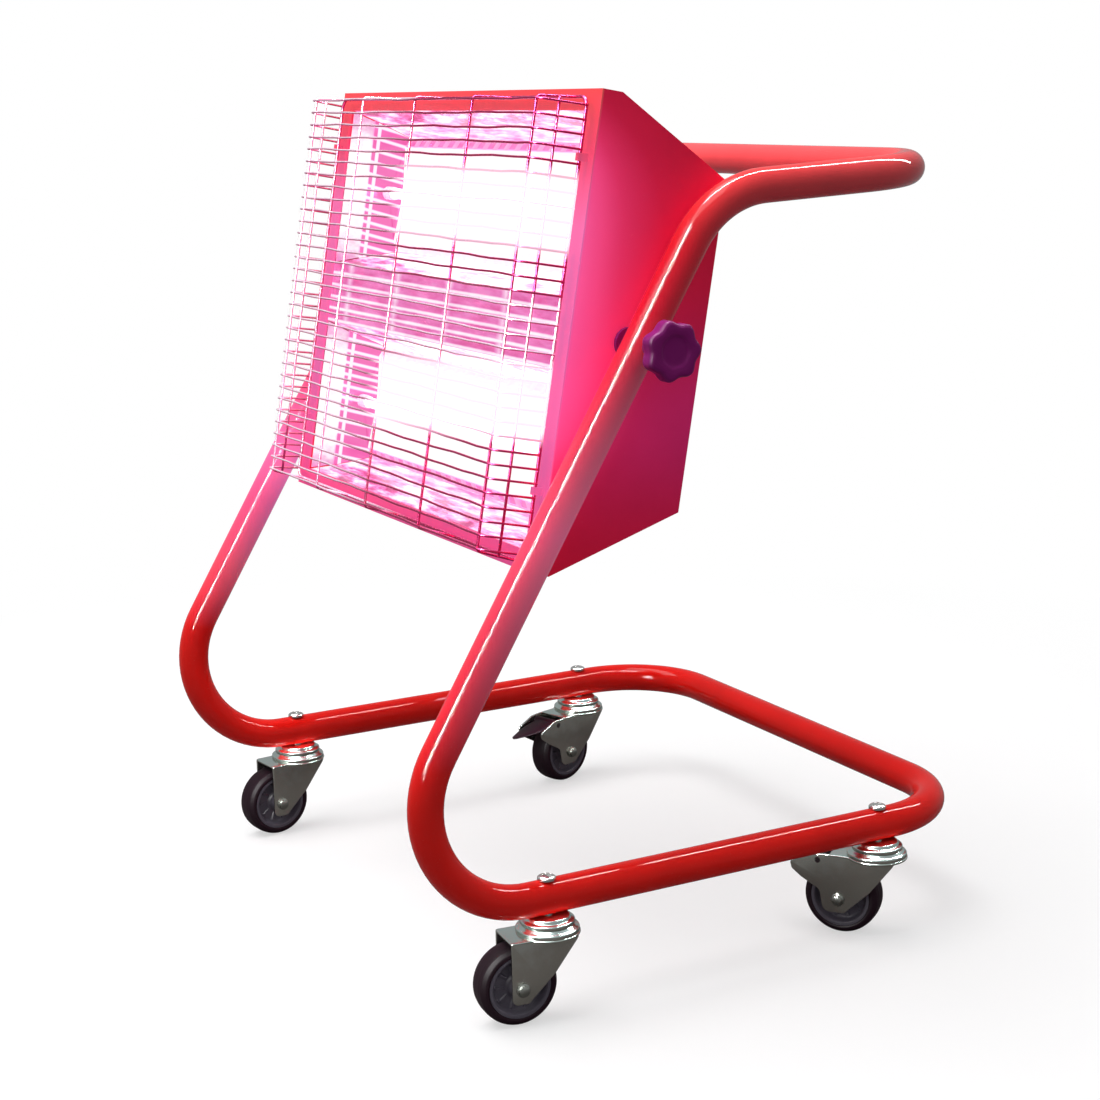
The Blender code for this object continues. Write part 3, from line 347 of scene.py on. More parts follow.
# %% [markdown]
# Several finishes share the same small effects: grain, dust and places on the head. Each effect
# is built once as a node group with named sockets, and every material then uses it with its own
# numbers. Patterns read Object coordinates, so they stay on a piece when it moves. A number in a
# shader is wrapped as a Value, so that sums of numbers can be written as plain arithmetic.

# %% Helpers for shader nodes
def link(tree, value, target):
    """Link a socket or a Value to a socket, or set a plain value on it."""
    value = getattr(value, "socket", value)
    if isinstance(value, bpy.types.NodeSocket):
        tree.links.new(value, target)
    else:
        target.default_value = value


def put(tree, kind, inputs=None, **settings):
    """Add one node with its settings, and link or set its inputs."""
    node = tree.nodes.new(kind)
    for name, value in settings.items():
        setattr(node, name, value)
    for key, value in (inputs or {}).items():
        link(tree, value, node.inputs[key])
    return node


class Value:
    """A number in a shader tree. Each operation on it adds one Math or Map Range node."""

    def __init__(self, socket):
        self.socket = socket
        self.tree = socket.id_data

    def math(self, operation, first, second=0.0):
        """One Math node's result."""
        node = put(self.tree, "ShaderNodeMath", {0: first, 1: second}, operation=operation)
        return Value(node.outputs[0])

    def __add__(self, other):
        return self.math("ADD", self, other)

    def __sub__(self, other):
        return self.math("SUBTRACT", self, other)

    def __rsub__(self, other):
        return self.math("SUBTRACT", other, self)

    def __mul__(self, other):
        return self.math("MULTIPLY", self, other)

    def __truediv__(self, other):
        return self.math("DIVIDE", self, other)

    def __abs__(self):
        return self.math("ABSOLUTE", self)

    __radd__ = __add__
    __rmul__ = __mul__

    def above(self, other):
        """1 where the value is greater, 0 elsewhere."""
        return self.math("GREATER_THAN", self, other)

    def at_least(self, other):
        """The greater of two values."""
        return self.math("MAXIMUM", self, other)

    def fading(self):
        """exp(-value)."""
        return self.math("POWER", math.exp(-1.0), self)

    def spread(self, low, high, to_low=0.0, to_high=1.0):
        """The value moved from one range to another, and held inside it."""
        values = {"Value": self, "From Min": low, "From Max": high, "To Min": to_low, "To Max": to_high}
        return Value(put(self.tree, "ShaderNodeMapRange", values).outputs["Result"])


def noise(tree, place, scale, detail=2.0, roughness=0.5):
    """A Noise texture's value at a place."""
    values = {"Vector": place, "Scale": scale, "Detail": detail, "Roughness": roughness}
    return Value(put(tree, "ShaderNodeTexNoise", values).outputs["Fac"])


def long_noise(tree, place, stretch, detail, roughness):
    """Noise drawn out along one direction: the place is multiplied by the stretch first."""
    drawn = put(tree, "ShaderNodeVectorMath", {0: place, 1: stretch}, operation="MULTIPLY").outputs[0]
    return noise(tree, drawn, 1.0, detail, roughness)


def blend_colours(tree, share, first, second, mode="MIX"):
    """Two colours mixed by a share from 0 to 1."""
    values = {0: share, 6: first, 7: second}
    return put(tree, "ShaderNodeMix", values, data_type="RGBA", blend_type=mode).outputs[2]


GROUP_KINDS = {float: "NodeSocketFloat", tuple: "NodeSocketColor", str: "NodeSocketVector"}
SURFACE = {"Colour": tuple, "Roughness": float, "Height": float}


def new_group(name, inputs, outputs):
    """An empty node group with named sockets, its tree, its input sockets and its output node."""
    tree = bpy.data.node_groups.new(name, "ShaderNodeTree")
    for label, value in inputs.items():
        item = tree.interface.new_socket(label, in_out="INPUT", socket_type=GROUP_KINDS[type(value)])
        if not isinstance(value, str):
            item.default_value = value
    for label, kind in outputs.items():
        tree.interface.new_socket(label, in_out="OUTPUT", socket_type=GROUP_KINDS[kind])
    given = tree.nodes.new("NodeGroupInput").outputs
    return tree, given, tree.nodes.new("NodeGroupOutput")


def hand_out(tree, result, **sockets):
    """Wire the results to the group's outputs."""
    for label, socket in sockets.items():
        link(tree, socket, result.inputs[label])


print("node helpers ready")


# %% [markdown]
# Wet-sprayed enamel is never quite flat. It keeps a soft orange peel, its shade drifts a little
# from one hand's breadth to the next, and dust settles in it. Metal is told by its grain, which is
# long and fine along the rolling direction, and by a painted reflection of a room: lighter where
# it faces up, darker where it faces down. Moulded plastic and rubber have a fine even skin with
# pale scuffs. These four groups cover every solid surface of the heater.

# %% Paint film, metal grain, moulded skin and painted sky reflection
def paint_film():
    """Shade drift, orange peel and dust for sprayed enamel."""
    inputs = {"Place": "", "Colour": (0.6, 0.01, 0.02, 1.0), "Roughness": 0.2, "Peel": 1.0, "Dust": 0.2}
    tree, given, result = new_group("paint_film", inputs, SURFACE)
    place = given["Place"]
    drift = noise(tree, place, 13.0, 3.0).spread(0.3, 0.7, 0.90, 1.06)
    shaded = blend_colours(tree, 1.0, given["Colour"], drift, "MULTIPLY")
    dusty = noise(tree, place, 520.0, 2.0).spread(0.66, 0.76) * given["Dust"]
    colour = blend_colours(tree, dusty, shaded, (0.62, 0.40, 0.38, 1.0))
    rough = noise(tree, place, 48.0, 6.0, 0.65).spread(0.45, 0.75, -0.02, 0.10) + given["Roughness"]
    height = noise(tree, place, 240.0, 1.0) * given["Peel"]
    hand_out(tree, result, Colour=colour, Roughness=rough, Height=height)
    return tree


def metal_grain():
    """Long fine grain: noise read in a stretched space, darkening and roughening the metal."""
    inputs = {"Place": "", "Stretch": "", "Colour": (0.7, 0.7, 0.7, 1.0), "Roughness": 0.2, "Grain": 0.3}
    tree, given, result = new_group("metal_grain", inputs, SURFACE)
    lines = long_noise(tree, given["Place"], given["Stretch"], 5.0, 0.6)
    stain = noise(tree, given["Place"], 70.0, 5.0, 0.6).spread(0.42, 0.75)
    dulled = blend_colours(tree, 1.0, given["Colour"], (0.55, 0.56, 0.58, 1.0), "MULTIPLY")
    mark = (lines + stain) * given["Grain"]
    colour = blend_colours(tree, mark, given["Colour"], dulled)
    rough = mark * 0.30 + given["Roughness"]
    hand_out(tree, result, Colour=colour, Roughness=rough, Height=lines * given["Grain"])
    return tree


def moulded_skin():
    """A fine even texture with pale scuffs, for moulded plastic and rubber."""
    inputs = {"Place": "", "Colour": (0.02, 0.02, 0.02, 1.0), "Roughness": 0.5, "Scuff": 0.3}
    tree, given, result = new_group("moulded_skin", inputs, SURFACE)
    share = noise(tree, given["Place"], 85.0, 7.0, 0.68).spread(0.50, 0.78) * given["Scuff"]
    colour = blend_colours(tree, share, given["Colour"], (0.30, 0.27, 0.27, 1.0))
    rough = share * 0.35 + given["Roughness"]
    height = noise(tree, given["Place"], 1400.0, 2.0)
    hand_out(tree, result, Colour=colour, Roughness=rough, Height=height)
    return tree


def painted_sky_reflection():
    """Painted reflection of a room for metal: share = range(normal z + noise), by how far a surface looks
    up.
    """
    inputs = {"Place": "", "Normal": "", "From": -0.3, "To": 0.7}
    tree, given, result = new_group("painted_sky_reflection", inputs, {"Share": float})
    height = Value(put(tree, "ShaderNodeSeparateXYZ", {0: given["Normal"]}).outputs[2])
    uneven = noise(tree, given["Place"], 90.0, 3.0).spread(0.3, 0.7, -0.05, 0.05)
    hand_out(tree, result, Share=(height + uneven).spread(given["From"], given["To"]))
    return tree


PAINT_FILM = paint_film()
PAINTED_SKY_REFLECTION = painted_sky_reflection()
METAL_GRAIN = metal_grain()
MOULDED_SKIN = moulded_skin()
print("surface groups:", PAINT_FILM.name, METAL_GRAIN.name, MOULDED_SKIN.name, PAINTED_SKY_REFLECTION.name)


# %% [markdown]
# The lamps burn white-hot, and the camera saw everything near them turn pink and then white.
# That glow is painted into the finishes, worked out from places on the head: one group turns the
# room coordinates into behind-the-face, up-the-face, across, and the rise above the nearer lamp.
# Reflectors, guard, face, side panels and the upper legs all use it for their painted glow.

# %% Places on the head, for the painted glow of the lamps
LAMP_UP = {"upper": 0.3241, "lower": 0.0995}
FOCUS_BACK = 0.0442


def head_place():
    """Room coordinates turned and moved to the head, and rise = up less the nearer lamp's height."""
    outputs = {"Back": float, "Up": float, "Across": float, "Rise": float}
    tree, given, result = new_group("head_place", {"Place": ""}, outputs)
    cosine, sine = math.cos(HEAD_LEAN), math.sin(HEAD_LEAN)
    moved = (
        0.0,
        PIVOT_BACK - PIVOT[1] * cosine + PIVOT[2] * sine,
        PIVOT_UP - PIVOT[1] * sine - PIVOT[2] * cosine,
    )
    values = {"Vector": given["Place"], "Location": moved, "Rotation": (HEAD_LEAN, 0.0, 0.0)}
    turned_place = put(tree, "ShaderNodeMapping", values, vector_type="POINT").outputs[0]
    parts = put(tree, "ShaderNodeSeparateXYZ", {0: turned_place}).outputs
    across, back, up = (Value(part) for part in parts)
    in_upper = up.above((LAMP_UP["upper"] + LAMP_UP["lower"]) / 2)
    rise = up - LAMP_UP["lower"] - in_upper * (LAMP_UP["upper"] - LAMP_UP["lower"])
    hand_out(tree, result, Back=back, Up=up, Across=across, Rise=rise)
    return tree


HEAD_PLACE = head_place()
print("lamps stand %.1f mm behind the face" % (FOCUS_BACK * 1000))


# %% [markdown]
# A material is then short: Object coordinates go into a group, and the group's colour, roughness
# and height go to the Principled shader and a Bump node. Numbers that are the same all over,
# such as the specular level or the metalness, are set on the shader itself.

# %% How a finish is put together
def new_finish(name, **constants):
    """A material with its Principled shader and the Object coordinates socket."""
    made = bpy.data.materials.new(name)
    made.use_nodes = True
    tree = made.node_tree
    shader = tree.nodes["Principled BSDF"]
    for label, value in constants.items():
        shader.inputs[label.replace("_", " ")].default_value = value
    place = put(tree, "ShaderNodeTexCoord").outputs["Object"]
    return made, tree, shader, place


def use_group(tree, group, **values):
    """One of the shared groups with this material's own values."""
    return put(tree, "ShaderNodeGroup", values, node_tree=group)


def painted_reflection_share(tree, place, low, high):
    """The painted reflection's share: how far this surface looks up, from 0 at one normal height to 1 at
    another.
    """
    normal = put(tree, "ShaderNodeTexCoord").outputs["Normal"]
    return use_group(tree, PAINTED_SKY_REFLECTION, Place=place, Normal=normal, From=low, To=high).outputs["Share"]


def on_head_values(tree, place):
    """The results of the head_place group by name, as values."""
    return {socket.name: Value(socket) for socket in use_group(tree, HEAD_PLACE, Place=place).outputs}


def wire_surface(tree, shader, effect, bump, distance=0.001):
    """A group's colour, roughness and height wired to the shader."""
    tree.links.new(effect.outputs["Colour"], shader.inputs["Base Color"])
    tree.links.new(effect.outputs["Roughness"], shader.inputs["Roughness"])
    values = {"Height": effect.outputs["Height"], "Strength": bump, "Distance": distance}
    tree.links.new(put(tree, "ShaderNodeBump", values).outputs[0], shader.inputs["Normal"])


def metal(name, low, high, roughness, grain, stretch, sky):
    """A grained metal with a painted reflection: darker where it looks down and lighter where it looks up.
    """
    made, tree, shader, place = new_finish(name, Metallic=1.0)
    colour = blend_colours(tree, painted_reflection_share(tree, place, *sky), (*low, 1.0), (*high, 1.0))
    effect = use_group(
        tree, METAL_GRAIN, Place=place, Colour=colour, Roughness=roughness, Grain=grain, Stretch=stretch)
    wire_surface(tree, shader, effect, 0.05)
    return made


def moulded(name, colour, roughness, scuff, **constants):
    """Moulded plastic or rubber."""
    made, tree, shader, place = new_finish(name, **constants)
    effect = use_group(
        tree, MOULDED_SKIN, Place=place, Colour=(*colour, 1.0), Roughness=roughness, Scuff=scuff)
    wire_surface(tree, shader, effect, 0.12, 0.0004)
    return made


def glazed(name, colour, roughness, peel, dust, **constants):
    """Enamel or glaze over a body."""
    made, tree, shader, place = new_finish(name, **constants)
    effect = use_group(
        tree, PAINT_FILM, Place=place, Colour=(*colour, 1.0), Roughness=roughness, Peel=peel, Dust=dust)
    wire_surface(tree, shader, effect, 0.10, 0.0006)
    return made


# Each metal's two colours are a painted reflection: the first where it faces down, the second up.
ZINC = metal("zinc_plated_steel", (0.42, 0.42, 0.37), (0.80, 0.95, 0.92), 0.20, 0.06,
             (90.0, 90.0, 700.0), (0.0, 0.60))
BRIGHT_STEEL = metal("bright_bolt_steel", (0.30, 0.30, 0.29), (0.95, 0.96, 0.94), 0.16, 0.20,
                     (300.0, 300.0, 900.0), (-0.3, 0.4))
AXLE_STEEL = metal("bright_bolt_steel_axle", (0.22, 0.23, 0.20), (0.70, 0.74, 0.70), 0.24, 0.10,
                   (300.0, 300.0, 900.0), (-0.1, 0.7))
RUBBER = moulded("grey_black_rubber", (0.024, 0.008, 0.016), 0.48, 0.02, Specular_IOR_Level=0.12)
NYLON = moulded("dark_grey_nylon", (0.120, 0.108, 0.140), 0.45, 0.12, Specular_IOR_Level=0.25)
KNOB_PLASTIC = moulded(
    "black_knob_plastic", (0.250, 0.008, 0.165), 0.38, 0.01, Specular_IOR_Level=0.12)
PEDAL_PLASTIC = moulded(
    "black_pedal_plastic", (0.040, 0.012, 0.026), 0.36, 0.04, Specular_IOR_Level=0.16)
# The ceramic blocks carry a painted pink glow of the lamps as emission.
CERAMIC = glazed("white_ceramic", (0.78, 0.74, 0.74), 0.35, 0.4, 0.15, Emission_Strength=1.0,
                 Emission_Color=(0.50, 0.26, 0.40, 1.0))
TERMINAL = glazed("pale_terminal_plastic", (0.62, 0.60, 0.54), 0.45, 0.5, 0.3)
print("plain finishes made:", len(bpy.data.materials))


# %% [markdown]
# The finishes near the lamps add a painted glow. The face, the side panels and the frame are the
# same red enamel, painted pinker beside the guard where the lamps would light them. Each part of a
# reflector has its own share of painted glow, and one ramp turns a share into magenta, pink or
# white. The wires of the guard are painted white where the lamps would light them and crimson in
# their shade, and pale in a painted glare where they cross a lamp.

# %% Finishes near the lamps, with their painted glow
STRIP_OUTER = 0.0610
STRIP_INNER = 0.0505
GUARD_ROWS = 32
GUARD_LOW = 0.0165
GUARD_HIGH = 0.4085
GUARD_PITCH = (GUARD_HIGH - GUARD_LOW) / (GUARD_ROWS - 1)
# The painted glow's ramp: dark magenta at share 0, through pink, to white at share 1.
GLOW_STOPS = (
    (0.00, (0.34, 0.010, 0.090)), (0.20, (0.62, 0.060, 0.260)), (0.40, (0.76, 0.200, 0.500)),
    (0.60, (0.84, 0.440, 0.680)), (0.80, (0.92, 0.780, 0.880)), (1.00, (1.0, 1.0, 1.0)))


def colour_ramp(tree, share, stops):
    """Colours along a share from 0 to 1."""
    node = put(tree, "ShaderNodeValToRGB", {0: share})
    ramp = node.color_ramp
    ramp.elements[0].position, ramp.elements[0].color = stops[0][0], (*stops[0][1], 1.0)
    ramp.elements[1].position, ramp.elements[1].color = stops[-1][0], (*stops[-1][1], 1.0)
    for position, colour in stops[1:-1]:
        ramp.elements.new(position).color = (*colour, 1.0)
    return node.outputs["Color"]


def shine(tree, shader, share, stops=GLOW_STOPS):
    """A painted glow: a share turned into emission colour by a ramp."""
    tree.links.new(colour_ramp(tree, share, stops), shader.inputs["Emission Color"])


def sheet_paint_and_painted_glow():
    """Red enamel with a painted lamp glow: pinker by share = exp(-back / 0.06) * exp(-((up - 0.235) /
    0.165)^4).
    """
    made, tree, shader, place = new_finish(
        "red_gloss_paint_sheet_with_painted_glow", Specular_IOR_Level=0.10, Emission_Strength=1.0)
    at = on_head_values(tree, place)
    rise = (at["Up"] - 0.235) / 0.165
    square = rise * rise
    share = (at["Back"].at_least(0.0) / 0.060).fading() * (square * square).fading()
    # The base turns pinker by share: a painted glow of the lamps beside the guard.
    stops = ((0.0, (0.90, 0.012, 0.058)), (0.20, (0.90, 0.012, 0.075)), (0.37, (0.91, 0.014, 0.095)),
             (0.55, (0.92, 0.020, 0.130)), (0.80, (0.92, 0.035, 0.170)), (1.0, (0.92, 0.060, 0.220)))
    # On the face the base is a darker red; a painted magenta-pink glow band lies round up = 0.150.
    on_face = at["Back"].spread(0.0004, 0.0020, 1.0, 0.0)
    low = (at["Up"] - 0.150) / 0.075
    low = (low * low).fading()
    red = blend_colours(tree, low, colour_ramp(tree, share, stops), (0.92, 0.035, 0.260, 1.0))
    red = blend_colours(tree, on_face, red, (0.70, 0.014, 0.040, 1.0))
    effect = use_group(tree, PAINT_FILM, Place=place, Colour=red, Roughness=0.33, Peel=0.6, Dust=0.04)
    wire_surface(tree, shader, effect, 0.08, 0.0006)
    # Painted glow as emission: by share on the side panels, and by height up the face on the face.
    lit = ((0.0, (0.05, 0.001, 0.004)), (0.25, (0.15, 0.004, 0.016)), (0.50, (0.36, 0.020, 0.070)),
           (0.72, (0.54, 0.048, 0.155)), (1.0, (0.62, 0.075, 0.240)))
    faced = ((0.0, (0.34, 0.060, 0.210)), (0.14, (0.34, 0.090, 0.280)), (0.30, (0.36, 0.120, 0.360)),
             (0.72, (0.36, 0.150, 0.390)), (0.87, (0.32, 0.060, 0.130)), (1.0, (0.22, 0.060, 0.045)))
    on_front = colour_ramp(tree, at["Up"] / HEAD_HEIGHT, faced)
    light = blend_colours(tree, on_face, colour_ramp(tree, share, lit), on_front)
    tree.links.new(light, shader.inputs["Emission Color"])
    return made


def tube_paint_and_painted_glow():
    """The frame's red enamel, orange red low down, with painted lamp light: crimson and pink where the legs
    pass the lamps, salmon as a painted highlight on the handle.
    """
    made, tree, shader, place = new_finish(
        "red_gloss_paint_tube_with_painted_glow", Specular_IOR_Level=0.20, Emission_Strength=1.0)
    at = on_head_values(tree, place)
    up = at["Up"]
    # Painted lamp light in the base: crimson near the lamps, and salmon on the handle as its painted
    # highlight.
    rise = up.spread(-0.20, 0.02) * up.spread(0.25, 0.40, 1.0, 0.0)
    red = blend_colours(tree, rise, (0.88, 0.012, 0.008, 1.0), (0.90, 0.010, 0.032, 1.0))
    red = blend_colours(tree, up.spread(0.30, 0.42), red, (0.84, 0.080, 0.085, 1.0))
    effect = use_group(tree, PAINT_FILM, Place=place, Colour=red, Roughness=0.05, Peel=0.20, Dust=0.05)
    wire_surface(tree, shader, effect, 0.06, 0.0006)
    # Painted pink glow as emission on the legs beside the lamps, stronger on the left leg.
    left = at["Across"].spread(-0.20, 0.20, 1.0, 0.40)
    share = up.spread(-0.17, 0.04) * up.spread(0.04, 0.24, 1.0, 0.05) * left
    shine(tree, shader, share, (
        (0.0, (0.0, 0.0, 0.0)), (0.35, (0.18, 0.070, 0.125)), (0.70, (0.28, 0.095, 0.250)),
        (1.0, (0.40, 0.170, 0.440))))
    return made


def mirror_sheet(name):
    """The bright metal of the reflectors, tinted dark magenta as a painted lamp light, and its places on
    the head.
    """
    made, tree, shader, place = new_finish(name, Metallic=1.0, Emission_Strength=1.0)
    effect = use_group(tree, METAL_GRAIN, Place=place, Colour=(0.24, 0.09, 0.16, 1.0), Roughness=0.12,
                       Grain=0.2, Stretch=(30.0, 900.0, 900.0))
    wire_surface(tree, shader, effect, 0.04)
    return made, tree, shader, place, on_head_values(tree, place)


def painted_reflection_streaks(tree, place, amount):
    """A painted reflection of the lamp along buckled sheet: noise drawn out along the head."""
    return long_noise(tree, place, (22.0, 95.0, 95.0), 3.0, 0.6).spread(0.36, 0.64, -amount, amount)


def beside_divider(at):
    """1 on the halves of the troughs that lie towards the divider, 0 on the outer halves."""
    return abs(at["Up"] - HEAD_HEIGHT / 2).spread(0.065, 0.075, 1.0, 0.0)


def trough_metal_and_painted_glow():
    """Painted glow and reflection: white behind the lamp, magenta vents, pale and streaked slanted walls.
    """
    made, tree, shader, place, at = mirror_sheet("polished_aluminium")
    size = abs(at["Rise"])
    edge = size.spread(STRIP_INNER - 0.014, STRIP_INNER - 0.001, 0.0, 0.10)
    in_strip = size.spread(STRIP_INNER, STRIP_INNER + 0.0005)
    strip = in_strip * size.spread(STRIP_OUTER - 0.0005, STRIP_OUTER, 1.0, 0.0)
    wall = size.spread(STRIP_OUTER - 0.0005, STRIP_OUTER)
    mouth = size.spread(0.0655, 0.0735, 0.24, 0.56)
    streaked = mouth + painted_reflection_streaks(tree, place, 0.36) * (mouth * 1.8 + 0.35)
    inner = beside_divider(at)
    glare = inner * at["Across"].spread(-0.16, -0.04, 0.0, 0.40)
    fall = wall * (streaked - glare) + strip * (0.44 - inner * 0.34)
    shine(tree, shader, 1.05 - edge - fall)
    return made


def vent_metal_and_painted_glow():
    """A painted glow: the pressed vents are deeper magenta than the sheet round them."""
    made, tree, shader, place, at = mirror_sheet("polished_aluminium_vents")
    shine(tree, shader, beside_divider(at) * 0.50 + 0.33 + painted_reflection_streaks(tree, place, 0.05))
    return made


def bars(value, pitch, width, offset):
    """1 on bars of a given width every pitch, 0 between."""
    turns = (value + offset) / pitch
    away = abs(turns.math("FRACT", turns) - 0.5)
    return away.spread(width / 2 - 0.06, width / 2 + 0.06, 1.0, 0.0)


def end_metal_and_painted_reflection():
    """A painted reflection of the guard as bars on the end walls, and a nearly white one on their front
    wings.
    """
    made, tree, shader, place, at = mirror_sheet("polished_aluminium_ends")
    back = at["Back"]
    # Painted reflection of the level wires and of an upright, as pale bars.
    wires = bars(at["Up"] + back * 0.12, GUARD_PITCH, 0.26, 0.004)
    upright = back.spread(0.0225, 0.0235) * back.spread(0.0265, 0.0275, 1.0, 0.0)
    wall = wires.at_least(upright) * 0.60 + 0.27
    wing = abs(at["Rise"]).spread(0.045, 0.078, 1.05, 0.50) + painted_reflection_streaks(tree, place, 0.12)
    in_wing = back.spread(0.0175, 0.0195, 1.0, 0.0)
    shine(tree, shader, wall * (1.0 - in_wing) + wing * in_wing)
    return made


def divider_metal_and_painted_reflection():
    """A painted reflection of the guard's wires as broad pale bars on a painted mauve pink glow."""
    made, tree, shader, place, at = mirror_sheet("polished_aluminium_bar")
    # Painted reflection of the level wires and the uprights.
    wires = bars(at["Up"], GUARD_PITCH, 0.24, 0.001)
    lines = wires.at_least(bars(at["Across"], 0.1186, 0.05, 0.030))
    shine(tree, shader, painted_reflection_streaks(tree, place, 0.09) + 0.34 + lines * 0.50)
    return made


def guard_plating_and_painted_light():
    """Plated wire with painted light: white on the left, crimson on the right, and pale in a painted glare
    over the lamps.
    """
    made, tree, shader, place = new_finish("chromed_wire", Metallic=1.0, Emission_Strength=1.0)
    # Painted highlight and shade: lighter on each wire's upper side, darker underneath.
    share = painted_reflection_share(tree, place, -0.12, 0.34)
    at = on_head_values(tree, place)
    # Painted lamp light: white on the left and beside the divider, crimson on the right and the left
    # return.
    off_bar = abs(at["Up"] - 0.209).spread(0.028, 0.036, 0.12, 1.0)
    right = at["Across"].spread(-0.10, 0.02) * off_bar
    right = right.at_least(at["Across"].spread(-0.262, -0.250, 0.62, 0.0))
    top = blend_colours(tree, right, (1.0, 0.92, 0.96, 1.0), (0.72, 0.070, 0.230, 1.0))
    low = blend_colours(tree, right, (0.72, 0.10, 0.30, 1.0), (0.46, 0.010, 0.080, 1.0))
    effect = use_group(tree, METAL_GRAIN, Place=place, Colour=blend_colours(tree, share, low, top),
                       Roughness=0.20, Grain=0.25, Stretch=(120.0, 900.0, 900.0))
    wire_surface(tree, shader, effect, 0.03)
    # Painted glare over each lamp, and a painted glow on the lit wires, as emission.
    middle = at["Across"] * 0.08 + 0.030
    middle = middle - at["Up"].above(HEAD_HEIGHT / 2) * (middle + 0.010)
    away = abs(at["Rise"] - middle)
    glare = away.spread(0.026, 0.040, 1.0, 0.0) * at["Across"].spread(-0.03, 0.0)
    shine(tree, shader, glare.at_least((1.0 - right) * share * 0.45), (
        (0.0, (0.06, 0.001, 0.014)), (0.45, (0.50, 0.34, 0.44)), (1.0, (1.0, 0.87, 0.95))))
    return made


def burning(name, colour, strength, **constants):
    """A surface that shines by itself, a little unevenly along its length."""
    made, tree, shader, place = new_finish(name, Emission_Strength=strength, **constants)
    wave = noise(tree, place, 120.0, 2.0).spread(0.3, 0.7, 0.86, 1.0)
    light = blend_colours(tree, 1.0, (*colour, 1.0), wave, "MULTIPLY")
    tree.links.new(light, shader.inputs["Emission Color"])
    effect = use_group(
        tree, MOULDED_SKIN, Place=place, Colour=(0.9, 0.85, 0.88, 1.0), Roughness=0.10, Scuff=0.1)
    wire_surface(tree, shader, effect, 0.02, 0.0002)
    return made


SHEET_PAINT_AND_PAINTED_GLOW = sheet_paint_and_painted_glow()
TUBE_PAINT_AND_PAINTED_GLOW = tube_paint_and_painted_glow()
TROUGH_METAL_AND_PAINTED_GLOW = trough_metal_and_painted_glow()
VENT_METAL_AND_PAINTED_GLOW = vent_metal_and_painted_glow()
END_METAL_AND_PAINTED_REFLECTION = end_metal_and_painted_reflection()
DIVIDER_METAL_AND_PAINTED_REFLECTION = divider_metal_and_painted_reflection()
GUARD_PLATING_AND_PAINTED_LIGHT = guard_plating_and_painted_light()
QUARTZ = burning("quartz_glass", (1.0, 0.80, 0.94), 1.6, Alpha=0.55)
FILAMENT = burning("tungsten_filament", (1.0, 0.88, 0.92), 7.0)
print("finishes made:", len(bpy.data.materials))


# %% [markdown]
# The whole frame is one length of 32 mm tube, bent and closed into a loop: down one leg, back
# along the floor, across the rear, forward again, up the other leg and over the handle. Carrying
# one circle along the rounded path gives every bend the same radius, as a tube bender does.

# %% The tube frame
def frame_path(steps=26):
    """The loop's middle line: eight corners, each swapped for an arc of the bend radius."""
    right = [
        (SIDE_X, REAR_Y, RAIL_Z),
        (SIDE_X, VERTEX_Y, RAIL_Z),
        (SIDE_X, LEG_TOP_Y, RAIL_Z + LEG_TOP_RISE),
        (SIDE_X, LEG_TOP_Y + HANDLE_REACH, RAIL_Z + HANDLE_RISE),
    ]
    left = [(-x, y, z) for x, y, z in reversed(right)]
    return rounded(right + left, BEND_RADIUS, steps)


loop = frame_path()
frame_tube = mesh_object("tube_frame", [ring(round_bar(loop, TUBE_R, 40, closed=True))])
dress(frame_tube, TUBE_PAINT_AND_PAINTED_GLOW, "frame", ["frame_tube"])
print("frame loop of", len(loop), "rings,", round(float(np.linalg.norm(
    np.roll(loop, -1, 0) - loop, axis=1).sum()), 2), "m of tube")


# %% [markdown]
# Each castor hangs from a domed bolt through the rail. The bolt's cross recess is what shows on
# top of the rail, so it is pressed into the dome: the dome's height drops where the distance to
# either arm of a cross is small. Below the rail sits the fixed race, a turned cap with a step.

# %% Castor bolts and races
BOLT_HEAD_R = 0.0085
RACE_TOP = -TUBE_R - GAP
RACE_HEIGHT = 0.0075
RACE_BOTTOM = RACE_TOP - RACE_HEIGHT
CROWN_TOP = RACE_BOTTOM - GAP
CROWN_RISE = 0.0070
FORK_SHEET = 0.0025
SLEEVE_LENGTH = 0.0022
CROWN_PLATE_TOP = CROWN_TOP - CROWN_RISE
CROWN_PLATE_BOTTOM = CROWN_PLATE_TOP - FORK_SHEET
SLEEVE_BOTTOM = CROWN_PLATE_BOTTOM - SLEEVE_LENGTH


def bolt_grid(rings=26, sides=56):
    """Dome 0.0012 + 0.0037 sqrt(1 - (0.98 r/R)^2), less a cross recess where |x| or |y| is small."""
    share = np.linspace(0.02, 1.0, rings)[:, None]
    angle = full_turn(sides)
    x = BOLT_HEAD_R * share * np.cos(angle)
    y = BOLT_HEAD_R * share * np.sin(angle)
    dome = 0.0012 + 0.0037 * np.sqrt(np.clip(1.0 - (0.98 * share) ** 2, 0.0, 1.0)) + 0.0 * angle
    arm = np.minimum(np.abs(x), np.abs(y))
    inside = np.clip((0.00085 - arm) / 0.0003, 0.0, 1.0)
    inside *= np.clip((0.0047 - np.hypot(x, y)) / 0.0005, 0.0, 1.0)
    return x, y, TUBE_R + GAP + dome - 0.0019 * inside


